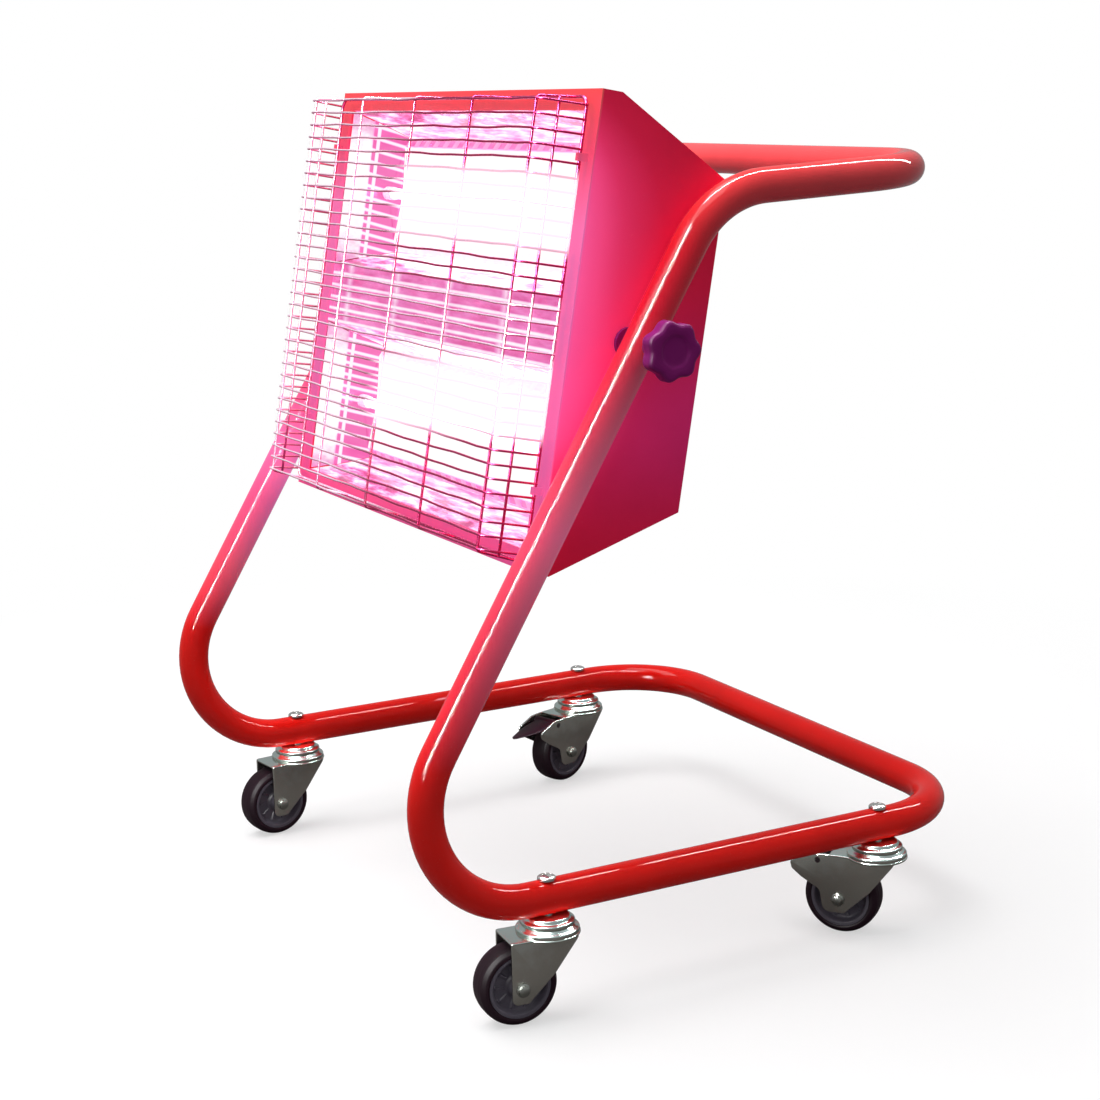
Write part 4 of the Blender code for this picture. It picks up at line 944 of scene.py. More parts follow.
def castor_bolt(name):
    """The dressed bolt: domed head with its recess, a plain shank and a nut below."""
    profile = [(0.0085, TUBE_R + GAP), (0.005, TUBE_R + GAP), (0.005, SLEEVE_BOTTOM - GAP),
               (0.0075, SLEEVE_BOTTOM - GAP), (0.0075, SLEEVE_BOTTOM - 0.0045),
               (0.0025, SLEEVE_BOTTOM - 0.005)]
    grid = np.vstack((np.stack(bolt_grid(), -1), np.stack(turned(profile, 56), -1)))
    made = mesh_object("castor_%s_bolt_with_cross" % name, [tube(grid + swivel_place(name))], 30)
    dress(made, BRIGHT_STEEL, "frame", ["castor_%s_bolt" % name])


def castor_race(name):
    """The fixed race: a turned ring standing on the castor's swivel axis."""
    grid = np.stack(turned(RACE_PROFILE, 56), -1) + swivel_place(name)
    made = mesh_object("castor_%s_race_cap" % name, [ring(grid)], 28)
    dress(made, ZINC, "frame", ["castor_%s_race" % name])


RACE_PROFILE = rounded([
    (0.0053, RACE_TOP), (0.0200, RACE_TOP), (0.0213, RACE_TOP - 0.0030), (0.0250, RACE_TOP - 0.0042),
    (0.0250, RACE_BOTTOM), (0.0090, RACE_BOTTOM), (0.0090, SLEEVE_BOTTOM), (0.0053, SLEEVE_BOTTOM),
], [0, 0.0016, 0.0012, 0.0014, 0.0006, 0, 0, 0], 5)

for name in CASTORS:
    castor_bolt(name)
    castor_race(name)
print("bolts and races on", len(CASTORS), "castors")


# %% [markdown]
# The fork is pressed from one sheet: a plate with a raised ball track under the race, folded down
# on both sides into cheeks. A cheek is a flat outline with rounded corners and softened edges, so
# it is a slab carried over its outline. The rear castors have a hood in front for the brake pedal.

# %% Forks
TRAIL = 0.0326
NOSE = TRAIL + 0.0100
AXLE_HEIGHT = -0.0762
FORK_SIDE = 0.0203
CROWN_R = 0.030


def cheek_corners(braked):
    """One cheek seen from the side, as (ahead of the swivel, height) with corner radii."""
    top = CROWN_PLATE_TOP - 0.0002
    foot = AXLE_HEIGHT - 0.0140
    rear = [
        ((NOSE - 0.0160, foot), 0.003),
        ((NOSE - 0.0200, foot + 0.0040), 0.003),
        ((TRAIL - 0.0312, AXLE_HEIGHT + 0.0102), 0.012),
        ((-0.0220, top - 0.0040), 0.004),
        ((-0.0220, top), 0.0),
    ]
    if not braked:
        return [((NOSE, top), 0.0015), ((NOSE, foot), 0.006)] + rear
    hood = TRAIL + 0.0500
    level = AXLE_HEIGHT + 0.0337
    front = [
        ((NOSE + 0.0040, top), 0.004),
        ((NOSE + 0.0180, top - 0.0010), 0.010),
        ((hood, level), 0.003),
        ((hood - 0.0020, level - 0.0076), 0.003),
        ((hood - 0.0116, level - 0.0152), 0.006),
        ((NOSE + 0.0090, AXLE_HEIGHT + 0.0076), 0.008),
        ((NOSE + 0.0060, AXLE_HEIGHT - 0.0106), 0.008),
        ((NOSE + 0.0010, foot), 0.004),
    ]
    return front + rear


def cheek_patch(name, braked, side):
    """The cheek's outline carried over its rounded edge, standing at one end of the axle."""
    corners, radii = zip(*cheek_corners(braked))
    outline = rounded(corners, radii, 5)
    ahead, height, across = slab(outline, FORK_SHEET, 0.0007)
    across = across + side * (FORK_SIDE - FORK_SHEET / 2)
    return grid_patch(on_castor(name, across, ahead, height), False, True, True)


def crown_patch(name):
    """The plate: a circle behind the axis, drawn out to a square nose, with a folded edge."""
    edge = math.asin(FORK_SIDE / CROWN_R)
    angle = np.linspace(-math.pi / 2 + edge, 1.5 * math.pi - edge, 40)
    around = np.stack((CROWN_R * np.cos(angle), CROWN_R * np.sin(angle)), -1)
    nose = rounded([(-FORK_SIDE, -NOSE + 0.02), (-FORK_SIDE, -NOSE - 0.0004), (FORK_SIDE, -NOSE - 0.0004),
                    (FORK_SIDE, -NOSE + 0.02)], [0, 0.003, 0.003, 0], 5, closed=False)
    x, y, height = slab(np.vstack((around, nose)), FORK_SHEET, 0.0010)
    height = height + (CROWN_PLATE_TOP + CROWN_PLATE_BOTTOM) / 2
    return grid_patch(on_castor(name, x, -y, height), False, True, True)


def ball_track_patch(name):
    """The raised track: a turned bell under the race, with a rolled lip."""
    profile = rounded([
        (0.0096, CROWN_TOP), (0.0245, CROWN_TOP), (0.0268, CROWN_TOP - 0.0022),
        (0.0292, CROWN_TOP - 0.0036), (0.0292, CROWN_PLATE_TOP - 0.0006),
        (0.0096, CROWN_PLATE_TOP - 0.0006),
    ], [0, 0.0016, 0.0014, 0.0016, 0.0006, 0], 5)
    x, y, height = turned(profile, 56)
    return grid_patch(on_castor(name, x, y, height), True, True, False)


for name in CASTORS:
    braked = name in BRAKED
    patches = [crown_patch(name), ball_track_patch(name)]
    patches += [cheek_patch(name, braked, side) for side in (1, -1)]
    fork = mesh_object("castor_%s_pressed_fork" % name, patches, 32)
    dress(fork, ZINC, "swivel_" + name, ["castor_%s_fork" % name])
print("forks:", len(CASTORS), "of which braked:", len(BRAKED))


# %% [markdown]
# The wheel is a grey rubber tyre on a nylon centre. Both are turned shapes, so their sections
# carry the look: the tyre's crowned tread and round shoulder, and the centre's dished web with a
# raised rim and boss. Small flutes round the web are part of the same function, as a cosine.

# %% Wheels and axles
WHEEL_R = 0.0375
TYRE_HALF = 0.0143
HUB_R = 0.0294


def tyre_section():
    """Half the tyre's section mirrored: bead, flat side, round shoulder and crowned tread."""
    half = rounded([
        (0.0297, 0.0), (0.0297, 0.0137), (0.0312, TYRE_HALF), (0.0334, TYRE_HALF - 0.0004),
        (0.0368, TYRE_HALF - 0.0042), (WHEEL_R, 0.0045), (WHEEL_R, 0.0),
    ], [0, 0.0006, 0.0012, 0.004, 0.004, 0.006, 0], 6, closed=False)
    mirrored = half[::-1] * (1.0, -1.0)
    return np.vstack((half, mirrored[1:-1]))


def wheel_place(name, radius, along, angle):
    """Places round the axle from radius, distance along it and angle."""
    return on_castor(name, along, TRAIL + radius * np.cos(angle), AXLE_HEIGHT + radius * np.sin(angle))


def tyre(name):
    """The tyre's section carried round the axle."""
    section = tyre_section()
    angle = full_turn(96)
    grid = wheel_place(name, section[:, :1], section[:, 1:], angle)
    made = mesh_object("castor_%s_rubber_tyre" % name, [ring(grid)], 40)
    dress(made, RUBBER, "wheel_" + name, ["castor_%s_tyre" % name])


def hub_section():
    """The centre's section from the bore out over boss, web and rim, then back on the other side."""
    half = rounded([
        (0.0043, 0.0168), (0.0090, 0.0168), (0.0100, 0.0085), (0.0120, 0.0060), (0.0236, 0.0060),
        (0.0256, 0.0125), (0.0266, 0.0137), (HUB_R, 0.0137),
    ], [0, 0.0008, 0.002, 0.002, 0.003, 0.001, 0.0006, 0], 5, closed=False)
    return np.vstack((half, half[::-1] * (1.0, -1.0)))


def hub(name):
    """The section carried round the axle, with the web thickened at ten soft ribs."""
    section = hub_section()
    angle = full_turn(120)
    radius = section[:, :1]
    web = np.exp(-((radius - 0.0178) / 0.0042) ** 4)
    rib = np.clip(np.cos(10 * angle) * 3.0 - 1.6, 0.0, 1.0)
    along = section[:, 1:] * (1.0 + web * 0.55 * rib)
    made = mesh_object("castor_%s_nylon_centre" % name, [ring(wheel_place(name, radius, along, angle))], 30)
    dress(made, NYLON, "wheel_" + name, ["castor_%s_hub" % name])


def axle_patch(name):
    """The axle bolt: a domed head with a flange at each end of a plain shank."""
    end = FORK_SIDE + GAP
    half = [(0.0040, 0.0), (0.0040, end), (0.0065, end), (0.0065, end + 0.0012), (0.0053, end + 0.0018),
            (0.0049, end + 0.0040), (0.0030, end + 0.0049), (0.0006, end + 0.0050)]
    section = np.array([(r, -a) for r, a in reversed(half[1:])] + half[1:])
    angle = full_turn(36)
    return tube(wheel_place(name, section[:, :1], section[:, 1:], angle))


for name in CASTORS:
    tyre(name)
    hub(name)
    axle = mesh_object("castor_%s_axle_bolt" % name, [axle_patch(name)], 28)
    dress(axle, AXLE_STEEL, "swivel_" + name, ["castor_%s_axle" % name])
print("wheel diameter", WHEEL_R * 2000, "mm")


# %% [markdown]
# A rear wheel is braked with the toe: a plastic tongue, hinged between the cheeks, presses a cam
# on the tyre. From above it looks like a leaf, wide at the hinge, drawn in to a blunt point, with
# a hollow back. Its width and thickness are functions of the distance from the hinge.

# %% Brake pedals
PEDAL_AHEAD = TRAIL + 0.0214
PEDAL_HEIGHT = AXLE_HEIGHT + 0.0382
PEDAL_LENGTH = 0.056
PEDAL_SLOPE = math.radians(8.0)
HINGE_REACH = 0.0172


def pedal_patches(name):
    """Half width w(s) and half thickness t(s), with a rounded section (w cos a, t sin a)."""
    share = np.linspace(0.0, 1.0, 30)[:, None]
    wide = np.where(share < 0.42, 0.0150, 0.0150 - 0.0118 * ((share - 0.42) / 0.58) ** 1.25)
    wide = wide * np.sqrt(np.clip((1.012 - share) / 0.05, 0.0, 1.0))
    thick = 0.0034 - 0.0012 * share + 0.0010 * np.cos(share * math.pi)
    angle = full_turn(28)
    across = wide * np.sign(np.cos(angle)) * np.abs(np.cos(angle)) ** 0.6
    run = PEDAL_LENGTH * share + 0.0 * angle
    lift = thick * np.sin(angle) * 0.8 - 0.0008 * np.sin(math.pi * share)
    cosine, sine = math.cos(PEDAL_SLOPE), math.sin(PEDAL_SLOPE)
    ahead = PEDAL_AHEAD + run * cosine + lift * sine
    height = PEDAL_HEIGHT - run * sine + lift * cosine
    tongue = tube(on_castor(name, across, ahead, height))
    section = np.array([(0.0030, -FORK_SIDE), (0.0030, -HINGE_REACH), (0.0050, -HINGE_REACH),
                        (0.0050, HINGE_REACH), (0.0030, HINGE_REACH), (0.0030, FORK_SIDE)])
    ahead = PEDAL_AHEAD + section[:, :1] * np.cos(angle)
    height = PEDAL_HEIGHT + section[:, :1] * np.sin(angle)
    return [tongue, tube(on_castor(name, section[:, 1:], ahead, height))]


for name in BRAKED:
    pedal = mesh_object("castor_%s_brake_tongue" % name, pedal_patches(name), 30)
    dress(pedal, PEDAL_PLASTIC, "brake_" + name, ["castor_%s_pedal" % name])
print("brake pedals:", len(BRAKED))


# %% [markdown]
# The head is a box folded from thin sheet, open in front and behind. The solid already has every
# fold, window and guard hook, so a copy is merged into one skin and only its knife edges are
# rounded, by a bevel that follows the sheet's thickness. The hidden fittings keep their solids.

# %% Folded casing and carried-over fittings
def softened(node, name, width):
    """A merged copy of a painted solid whose sharp edges get a small radius."""
    mesh = NODES[node].data.copy()
    work = bmesh.new()
    work.from_mesh(mesh)
    bmesh.ops.remove_doubles(work, verts=work.verts, dist=1e-6)
    bmesh.ops.dissolve_limit(work, angle_limit=math.radians(0.5), verts=work.verts, edges=work.edges)
    work.to_mesh(mesh)
    work.free()
    mesh.name = name
    made = new_object(name, mesh)
    edge = made.modifiers.new("edge", "BEVEL")
    edge.width = width
    edge.segments = 2
    edge.limit_method = "ANGLE"
    edge.angle_limit = math.radians(30)
    edge.harden_normals = True
    mesh.shade_smooth()
    mesh.set_sharp_from_angle(angle=math.radians(30))
    dress(made, SHEET_PAINT_AND_PAINTED_GLOW, "head", [node])


def repaint(node, finish):
    """A better finish for a solid whose shape is already right."""
    NODES[node].data.materials.clear()
    NODES[node].data.materials.append(finish)


softened("head_casing", "head_folded_casing", 0.0006)
softened("rear_cover", "head_rear_cover", 0.0005)
repaint("terminal_block", TERMINAL)
for side in ("right", "left"):
    repaint("lamp_bracket_" + side, ZINC)
    repaint("tilt_nut_plate_" + side, ZINC)
    repaint("tilt_spacer_" + side, KNOB_PLASTIC)


# %% [markdown]
# Each reflector is folded from one bright sheet: a back plate behind the lamp, a strip of pressed
# vents above and below it, and walls that open out to the face. On a grid the vents are easy: the
# grid's lines run along their edges, the points inside a vent are pushed back, and its faces get
# a second material. Thin sheet buckles, so the walls are bent by a few sines.

# %% Reflector troughs with pressed vents
SIDES = ((1, "right"), (-1, "left"))
WINDOW_WIDTH = 0.5078
WINDOW_HEIGHT = 0.162
MOUTH_WIDTH = 0.4618
MOUTH_HEIGHT = 0.1466
MOUTH_BACK = 0.018
FACE_BORDER = 0.0185
DIVIDER_HEIGHT = 0.0626
WING_BACK = 0.0029
WING_LIP = 0.004
VENTS = 20
FOLDS = ((WING_BACK, WINDOW_HEIGHT / 2), (MOUTH_BACK, MOUTH_HEIGHT / 2), (0.0620, STRIP_OUTER),
         (0.0565, STRIP_INNER), (0.0605, 0.0))
VENT_DEPTH = 0.0022
BUCKLE = 0.0008
LAMP_HOLE_R = 0.0073
WING_INSET = 0.0012


def between(start, end, count):
    """Points spaced evenly from start, up to but not at the end."""
    share = np.linspace(0.0, 1.0, count + 1)[:-1, None]
    return np.array(start) + (np.array(end) - np.array(start)) * share


def trough_rows():
    """(back, up) down the sheet: lip, slanted wall, vent strip and back plate, then mirrored."""
    lip = np.array([[WING_BACK, FOLDS[0][1] + WING_LIP]])
    mouth = between(FOLDS[0], FOLDS[1], 4)
    wall = between(FOLDS[1], FOLDS[2], 10)
    strip = between(FOLDS[2], FOLDS[3], 12)
    plate = between(FOLDS[3], FOLDS[4], 6)
    upper = np.vstack((lip, mouth, wall, strip, plate, [FOLDS[4]]))
    return np.vstack((upper, upper[-2::-1] * (1.0, -1.0)))


def side_reach(back):
    """How far the sheet reaches to each side at a depth behind the face."""
    share = np.clip((back - WING_BACK) / (MOUTH_BACK - WING_BACK), 0.0, 1.0)
    return WINDOW_WIDTH / 2 + (MOUTH_WIDTH - WINDOW_WIDTH) / 2 * share - GAP


def vent_columns():
    """Column places from -1 to 1, with lines on both edges of every vent."""
    cell = np.array([0.0, 0.12, 0.16, 0.5, 0.84, 0.88])
    start = np.arange(VENTS)[:, None]
    return np.append((start + cell).reshape(-1) / VENTS, 1.0) * 2 - 1


def reflector(level):
    """The sheet as (across, back, up) on rows and columns, buckled by sines, then solidified."""
    rows = trough_rows()
    columns = vent_columns()
    across = side_reach(rows[:, :1]) * columns
    size = np.abs(rows[:, 1:])
    free = np.clip((size - STRIP_OUTER) / 0.004, 0.0, 1.0)
    free = free * np.clip((FOLDS[0][1] - size) / 0.006, 0.0, 1.0)
    free = free * np.clip((1.0 - np.abs(columns)) / 0.06, 0.0, 1.0)
    wave = np.sin(across * 151.0 + rows[:, 1:] * 90.0) + 0.7 * np.sin(across * 67.0 - rows[:, 1:] * 210.0)
    back = rows[:, :1] + BUCKLE * free * wave
    in_strip = (size - STRIP_INNER) / (STRIP_OUTER - STRIP_INNER)
    tall = np.clip(0.44 - np.abs(in_strip - 0.5), 0.0, 0.06) / 0.06
    wide = np.append(np.tile([0.0, 0.0, 1.0, 1.0, 1.0, 0.0], VENTS), 0.0)
    sunk = tall * wide
    back = back + VENT_DEPTH * sunk
    grid = on_head(across, back, LAMP_UP[level] + rows[:, 1:])
    made = mesh_object("reflector_%s_trough" % level, [grid_patch(grid, False, False, False)], 20, False)
    wall = made.modifiers.new("wall", "SOLIDIFY")
    wall.thickness = BRIGHT_SHEET
    wall.offset = 1.0
    dress(made, TROUGH_METAL_AND_PAINTED_GLOW, "head", ["reflector_" + level])
    made.data.materials.append(VENT_METAL_AND_PAINTED_GLOW)
    pressed = (sunk[:-1, :-1] + sunk[1:, 1:]) / 2 > 0.9
    made.data.polygons.foreach_set("material_index", pressed.astype(np.int32).reshape(-1))


def end_wall_patch(level, side):
    """The flat end wall: its outline and the lamp's round hole joined ray by ray, front and back."""
    upper = np.array(FOLDS[1:4]) - (0.0, GAP)
    outline = np.vstack((upper, [FOLDS[4]], upper[::-1] * (1.0, -1.0)))
    closed = np.vstack((outline, outline[:1]))
    length = np.append(0.0, np.cumsum(np.linalg.norm(np.diff(closed, axis=0), axis=1)))
    steps = np.linspace(0.0, length[-1], 97)[:-1]
    edge = np.stack([np.interp(steps, length, closed[:, k]) for k in range(2)], -1)
    ray = edge - (FOCUS_BACK, 0.0)
    ray /= np.linalg.norm(ray, axis=1)[:, None]
    hole = np.array((FOCUS_BACK, 0.0)) + ray * LAMP_HOLE_R
    loops = np.stack((hole, edge, edge, hole))
    near = MOUTH_WIDTH / 2 + 0.0002
    across = np.array([near, near, near + BRIGHT_SHEET, near + BRIGHT_SHEET])[:, None]
    return ring(on_head(side * across, loops[..., 0], LAMP_UP[level] + loops[..., 1]))


def end_wing_patch(level, side):
    """The slanted wing before the end wall: a quad strip with the sheet's thickness."""
    half = np.array([WINDOW_HEIGHT / 2, MOUTH_HEIGHT / 2]) - WING_INSET
    back = np.array([WING_BACK + GAP, MOUTH_BACK + 0.0006])
    reach = np.array([WINDOW_WIDTH / 2 + 2 * GAP, MOUTH_WIDTH / 2 + GAP])
    share = np.linspace(0.0, 1.0, 7)[:, None]
    half, back, reach = (values[0] + (values[1] - values[0]) * share for values in (half, back, reach))
    up = half * np.linspace(-1.0, 1.0, 25)[None, :]
    front = on_head(side * reach, back, LAMP_UP[level] + up)
    behind = on_head(side * (reach + BRIGHT_SHEET), back + 0.0002, LAMP_UP[level] + up)
    shell = np.concatenate((front, behind[:, ::-1]), axis=1)
    return grid_patch(shell, False, True, True)


def divider():
    """A thin bar section with rounded edges, carried across the head."""
    low = FACE_BORDER + WINDOW_HEIGHT
    high = low + DIVIDER_HEIGHT
    section = rounded([(low, 0.0018), (high, 0.0018), (high, 0.0026), (low, 0.0026)], 0.0003, 2)
    across = (WINDOW_WIDTH / 2 + 0.010) * np.linspace(-1.0, 1.0, 48)[:, None]
    grid = on_head(across, section[:, 1], section[:, 0])
    made = mesh_object("reflector_divider_bar", [tube(grid)], 40)
    dress(made, DIVIDER_METAL_AND_PAINTED_REFLECTION, "head", ["reflector_divider"])


for level in LAMP_UP:
    reflector(level)
    for side, word in SIDES:
        patches = [end_wall_patch(level, side), end_wing_patch(level, side)]
        end = mesh_object("reflector_%s_end_sheet_%s" % (level, word), patches, 25)
        dress(end, END_METAL_AND_PAINTED_REFLECTION, "head", ["reflector_%s_end_%s" % (level, word)])
divider()
print("vents per strip:", VENTS)


# %% [markdown]
# A short-wave lamp is a coil of tungsten inside a thin quartz sleeve, held by a ceramic block at
# each end. The coil is a real helix: a thin circle carried along (cos t, sin t). The sleeve
# glows too, since at this brightness the eye can no longer tell coil from glass.

# %% Lamps
LAMP_LENGTH = 0.4288
QUARTZ_R = 0.0055
COIL_R = 0.00120
COIL_PITCH = 0.0024


def round_lamp(level, across, radius, angle):
    """Places round a lamp's axis: across, r cos(t) behind it and r sin(t) above it."""
    return on_head(across, FOCUS_BACK + radius * np.cos(angle), LAMP_UP[level] + radius * np.sin(angle))


def lamp_sleeve(level):
    """A tube with a real wall: outer and inner circle carried along the lamp, closed at the ends."""
    half = LAMP_LENGTH / 2
    section = rounded([(-half, 0.0043), (-half, QUARTZ_R), (half, QUARTZ_R), (half, 0.0043)], 0.0004, 3)
    grid = round_lamp(level, section[:, :1], section[:, 1:], full_turn(32))
    made = mesh_object("lamp_%s_sleeve" % level, [ring(grid)], 30)
    dress(made, QUARTZ, "head", ["lamp_%s_quartz" % level])


def lamp_coil(level):
    """A helix (x, r cos t, r sin t) as the path of a fine wire."""
    half = LAMP_LENGTH / 2 - 0.0006
    turns = 2 * half / COIL_PITCH
    angle = np.linspace(0.0, 2 * math.pi * turns, int(turns * 12))
    path = round_lamp(level, np.linspace(-half, half, len(angle)), COIL_R, angle)
    made = mesh_object("lamp_%s_coil" % level, [tube(round_bar(path, 0.0003, 5))], 60)
    dress(made, FILAMENT, "head", ["lamp_%s_filament" % level])


def ceramic_end(level, side, word):
    """A turned ceramic block with two grooves and a rounded end."""
    near = LAMP_LENGTH / 2 + GAP
    section = rounded([
        (near, 0.0030), (near, 0.0066), (near + 0.006, 0.0070), (near + 0.008, 0.0061),
        (near + 0.010, 0.0070), (near + 0.038, 0.0070), (near + 0.040, 0.0061),
        (near + 0.042, 0.0070), (near + 0.050, 0.0066), (near + 0.050, 0.0020),
    ], [0, 0.0008, 0.0004, 0.0008, 0.0004, 0.0004, 0.0008, 0.0004, 0.0008, 0], 3, closed=False)
    grid = round_lamp(level, side * section[:, :1], section[:, 1:], full_turn(32))
    made = mesh_object("lamp_%s_ceramic_block_%s" % (level, word), [tube(grid)], 35)
    dress(made, CERAMIC, "head", ["lamp_%s_ceramic_%s" % (level, word)])


for level in LAMP_UP:
    lamp_sleeve(level)
    lamp_coil(level)
    for side, word in SIDES:
        ceramic_end(level, side, word)
print("coil turns per lamp:", round(LAMP_LENGTH / COIL_PITCH))


# %% [markdown]
# The star knobs pull the head's sides against the legs. A knob is a lathe shape whose radius also
# changes round the turn: share * (0.0017 cos(7 t) - 0.0001) makes the seven finger lobes, with the
# share rising from nothing at the cone to its full value on the rim. The stud is a plain bar.

# %% Star knobs
KNOB_FOOT = SIDE_X + TUBE_R + GAP
KNOB_TOP = SIDE_X + TUBE_R + 0.044
KNOB_GRIP = 0.017
LOBES = 7
STUD_R = 0.004
NUT_PLATE = 0.004
STUD_OVERRUN = 0.006


def knob_patches(side):
    """Rows of (across, radius, lobe share) carried round the clamp axis, and the stud's bar."""
    under = KNOB_TOP - KNOB_GRIP
    rows = np.array([
        (KNOB_FOOT, 0.0045, 0.0), (KNOB_FOOT, 0.0074, 0.0), (KNOB_FOOT + 0.0006, 0.0080, 0.0),
        (KNOB_FOOT + 0.012, 0.0112, 0.1), (under - 0.004, 0.0165, 0.5), (under - 0.001, 0.0195, 0.8),
        (under, 0.0222, 1.0), (under + 0.0012, 0.0243, 1.0), (under + 0.0036, 0.02525, 1.0),
        (under + 0.0134, 0.02525, 1.0), (under + 0.0158, 0.0241, 1.0), (under + 0.0168, 0.0222, 0.9),
        (under + 0.0170, 0.0190, 0.6), (under + 0.0166, 0.0150, 0.2), (under + 0.0152, 0.0120, 0.0),
        (under + 0.0152, 0.0020, 0.0),
    ])
    share = np.linspace(0, len(rows) - 1, 61)
    rows = np.stack([np.interp(share, np.arange(len(rows)), rows[:, k]) for k in range(3)], -1)
    angle = full_turn(126)
    lobe = (0.0017 * np.cos(LOBES * angle) - 0.0001) * rows[:, 2:]
    radius = rows[:, 1:2] + lobe
    across = side * (rows[:, :1] + 0.0 * angle)
    grid = np.stack((across, PIVOT[1] + radius * np.cos(angle), PIVOT[2] + radius * np.sin(angle)), -1)
    inner = HEAD_SIDE - SHEET - NUT_PLATE - STUD_OVERRUN
    ends = [(side * inner, PIVOT[1], PIVOT[2]), (side * (KNOB_FOOT + 0.004), PIVOT[1], PIVOT[2])]
    stud = round_bar(np.linspace(ends[0], ends[1], 4), STUD_R, 24, reference=(0.0, 0.0, 1.0))
    return [tube(grid), tube(stud)]


for side, word in SIDES:
    knob = mesh_object("clamp_star_" + word, knob_patches(side), 40)
    dress(knob, KNOB_PLASTIC, "knob_" + word, ["clamp_knob_" + word])
print("star knobs of", LOBES, "lobes")


# %% [markdown]
# The guard is 32 level wires, bent back to the head at both sides and welded to uprights and a
# rim. All level wires share one path, so numpy makes them together: the path's points, a circle
# round each point and a height for each wire are three axes of one array.

# %% Wire guard
GUARD_STAND = 0.047
GUARD_RIM_STAND = 0.0062
GUARD_HALF = 0.2530
GUARD_RIM_HALF = 0.2646
GUARD_OUTER = 0.2450
GUARD_WIRE_R = 0.0011
GUARD_UPRIGHT_R = 0.0013
GUARD_RIM_R = 0.0016
GUARD_RIM_LOW = 0.0080
GUARD_RIM_HIGH = HEAD_HEIGHT - GUARD_RIM_LOW
GUARD_SIDE_STAND = 0.029
WELD = 0.0003
GUARD_END = GUARD_RIM_HALF + GUARD_RIM_R + GUARD_WIRE_R - WELD


def level_wire_patches():
    """Places p(path, height) + r cos(t) n + r sin(t) b, with the height a little uneven."""
    corners = [(-GUARD_END, -GUARD_RIM_STAND), (-GUARD_HALF, -GUARD_STAND), (GUARD_HALF, -GUARD_STAND),
               (GUARD_END, -GUARD_RIM_STAND)]
    flat = rounded(corners, [0, 0.010, 0.010, 0], 7, closed=False)
    straight = np.linspace(0.03 - GUARD_HALF, GUARD_HALF - 0.03, 22)
    middle = np.stack((straight, np.full(22, -GUARD_STAND)), -1)
    half = len(flat) // 2
    flat = np.vstack((flat[:half], middle, flat[half:]))
    base = np.stack((flat[:, 0], flat[:, 1], np.zeros(len(flat))), -1)
    bar = round_bar(base, GUARD_WIRE_R, 10, reference=(0.0, 0.0, 1.0), round_end=GUARD_WIRE_R)
    heights = np.linspace(GUARD_LOW, GUARD_HIGH, GUARD_ROWS)[:, None, None]
    number = np.arange(GUARD_ROWS)[:, None, None]
    along = bar[..., 0]
    uneven = 0.0005 * np.sin(along * 31.0 + number * 2.4) + 0.0003 * np.sin(along * 83.0 + number * 5.1)
    uneven = uneven * np.clip((GUARD_HALF - np.abs(along)) / 0.03, 0.0, 1.0)
    return [tube(grid) for grid in on_head(along, bar[..., 1], bar[..., 2] + heights + uneven)]


def upright_patch(x):
    """A front upright behind the level wires, bent back to the rim at both ends."""
    stand = GUARD_STAND - GUARD_WIRE_R - GUARD_UPRIGHT_R + WELD
    over = GUARD_WIRE_R + GUARD_UPRIGHT_R
    corners = [(GUARD_RIM_STAND, GUARD_RIM_LOW), (stand, GUARD_LOW - over), (stand, GUARD_HIGH + over),
               (GUARD_RIM_STAND, GUARD_RIM_HIGH)]
    path = rounded([on_head(x, -s, up) for s, up in corners], [0, 0.004, 0.004, 0], 5, closed=False)
    return tube(round_bar(path, GUARD_UPRIGHT_R, 12, reference=(1.0, 0.0, 0.0), round_end=GUARD_UPRIGHT_R))


def side_upright_patch(side):
    """The upright halfway along the guard's side."""
    share = (GUARD_SIDE_STAND - GUARD_RIM_STAND) / (GUARD_STAND - GUARD_RIM_STAND)
    x = GUARD_END + (GUARD_HALF - GUARD_END) * share - GUARD_WIRE_R - GUARD_UPRIGHT_R + WELD
    ends = on_head(side * x, -GUARD_SIDE_STAND, np.array([GUARD_LOW - 0.003, GUARD_HIGH + 0.003]))
    path = np.linspace(ends[0], ends[1], 6)
    return tube(round_bar(path, GUARD_UPRIGHT_R, 12, reference=(1.0, 0.0, 0.0), round_end=GUARD_UPRIGHT_R))


def rim_patch():
    """The rim wire: a rounded rectangle that follows the face."""
    corners = [(-GUARD_RIM_HALF, GUARD_RIM_LOW), (GUARD_RIM_HALF, GUARD_RIM_LOW),
               (GUARD_RIM_HALF, GUARD_RIM_HIGH), (-GUARD_RIM_HALF, GUARD_RIM_HIGH)]
    path = rounded([on_head(x, -GUARD_RIM_STAND, up) for x, up in corners], 0.010, 7)
    return ring(round_bar(path, GUARD_RIM_R, 14, closed=True, reference=(0.0, 1.0, 0.0)))


uprights = np.linspace(-GUARD_OUTER, GUARD_OUTER, 5)
guard_patches = level_wire_patches() + [upright_patch(x) for x in uprights]
guard_patches += [side_upright_patch(1), side_upright_patch(-1), rim_patch()]
guard = mesh_object("guard_basket", guard_patches, 50)
dress(guard, GUARD_PLATING_AND_PAINTED_LIGHT, "head", ["wire_guard"])
print("guard wires:", len(guard_patches))


# %% [markdown]
# Behind, a flat cover closes the head. It is held by small pan-head screws and carries the
# cable gland, a nylon fitting whose cap has grip flats. The gland is turned, with the flats made
# by holding the radius under the apothem of a many-sided nut.

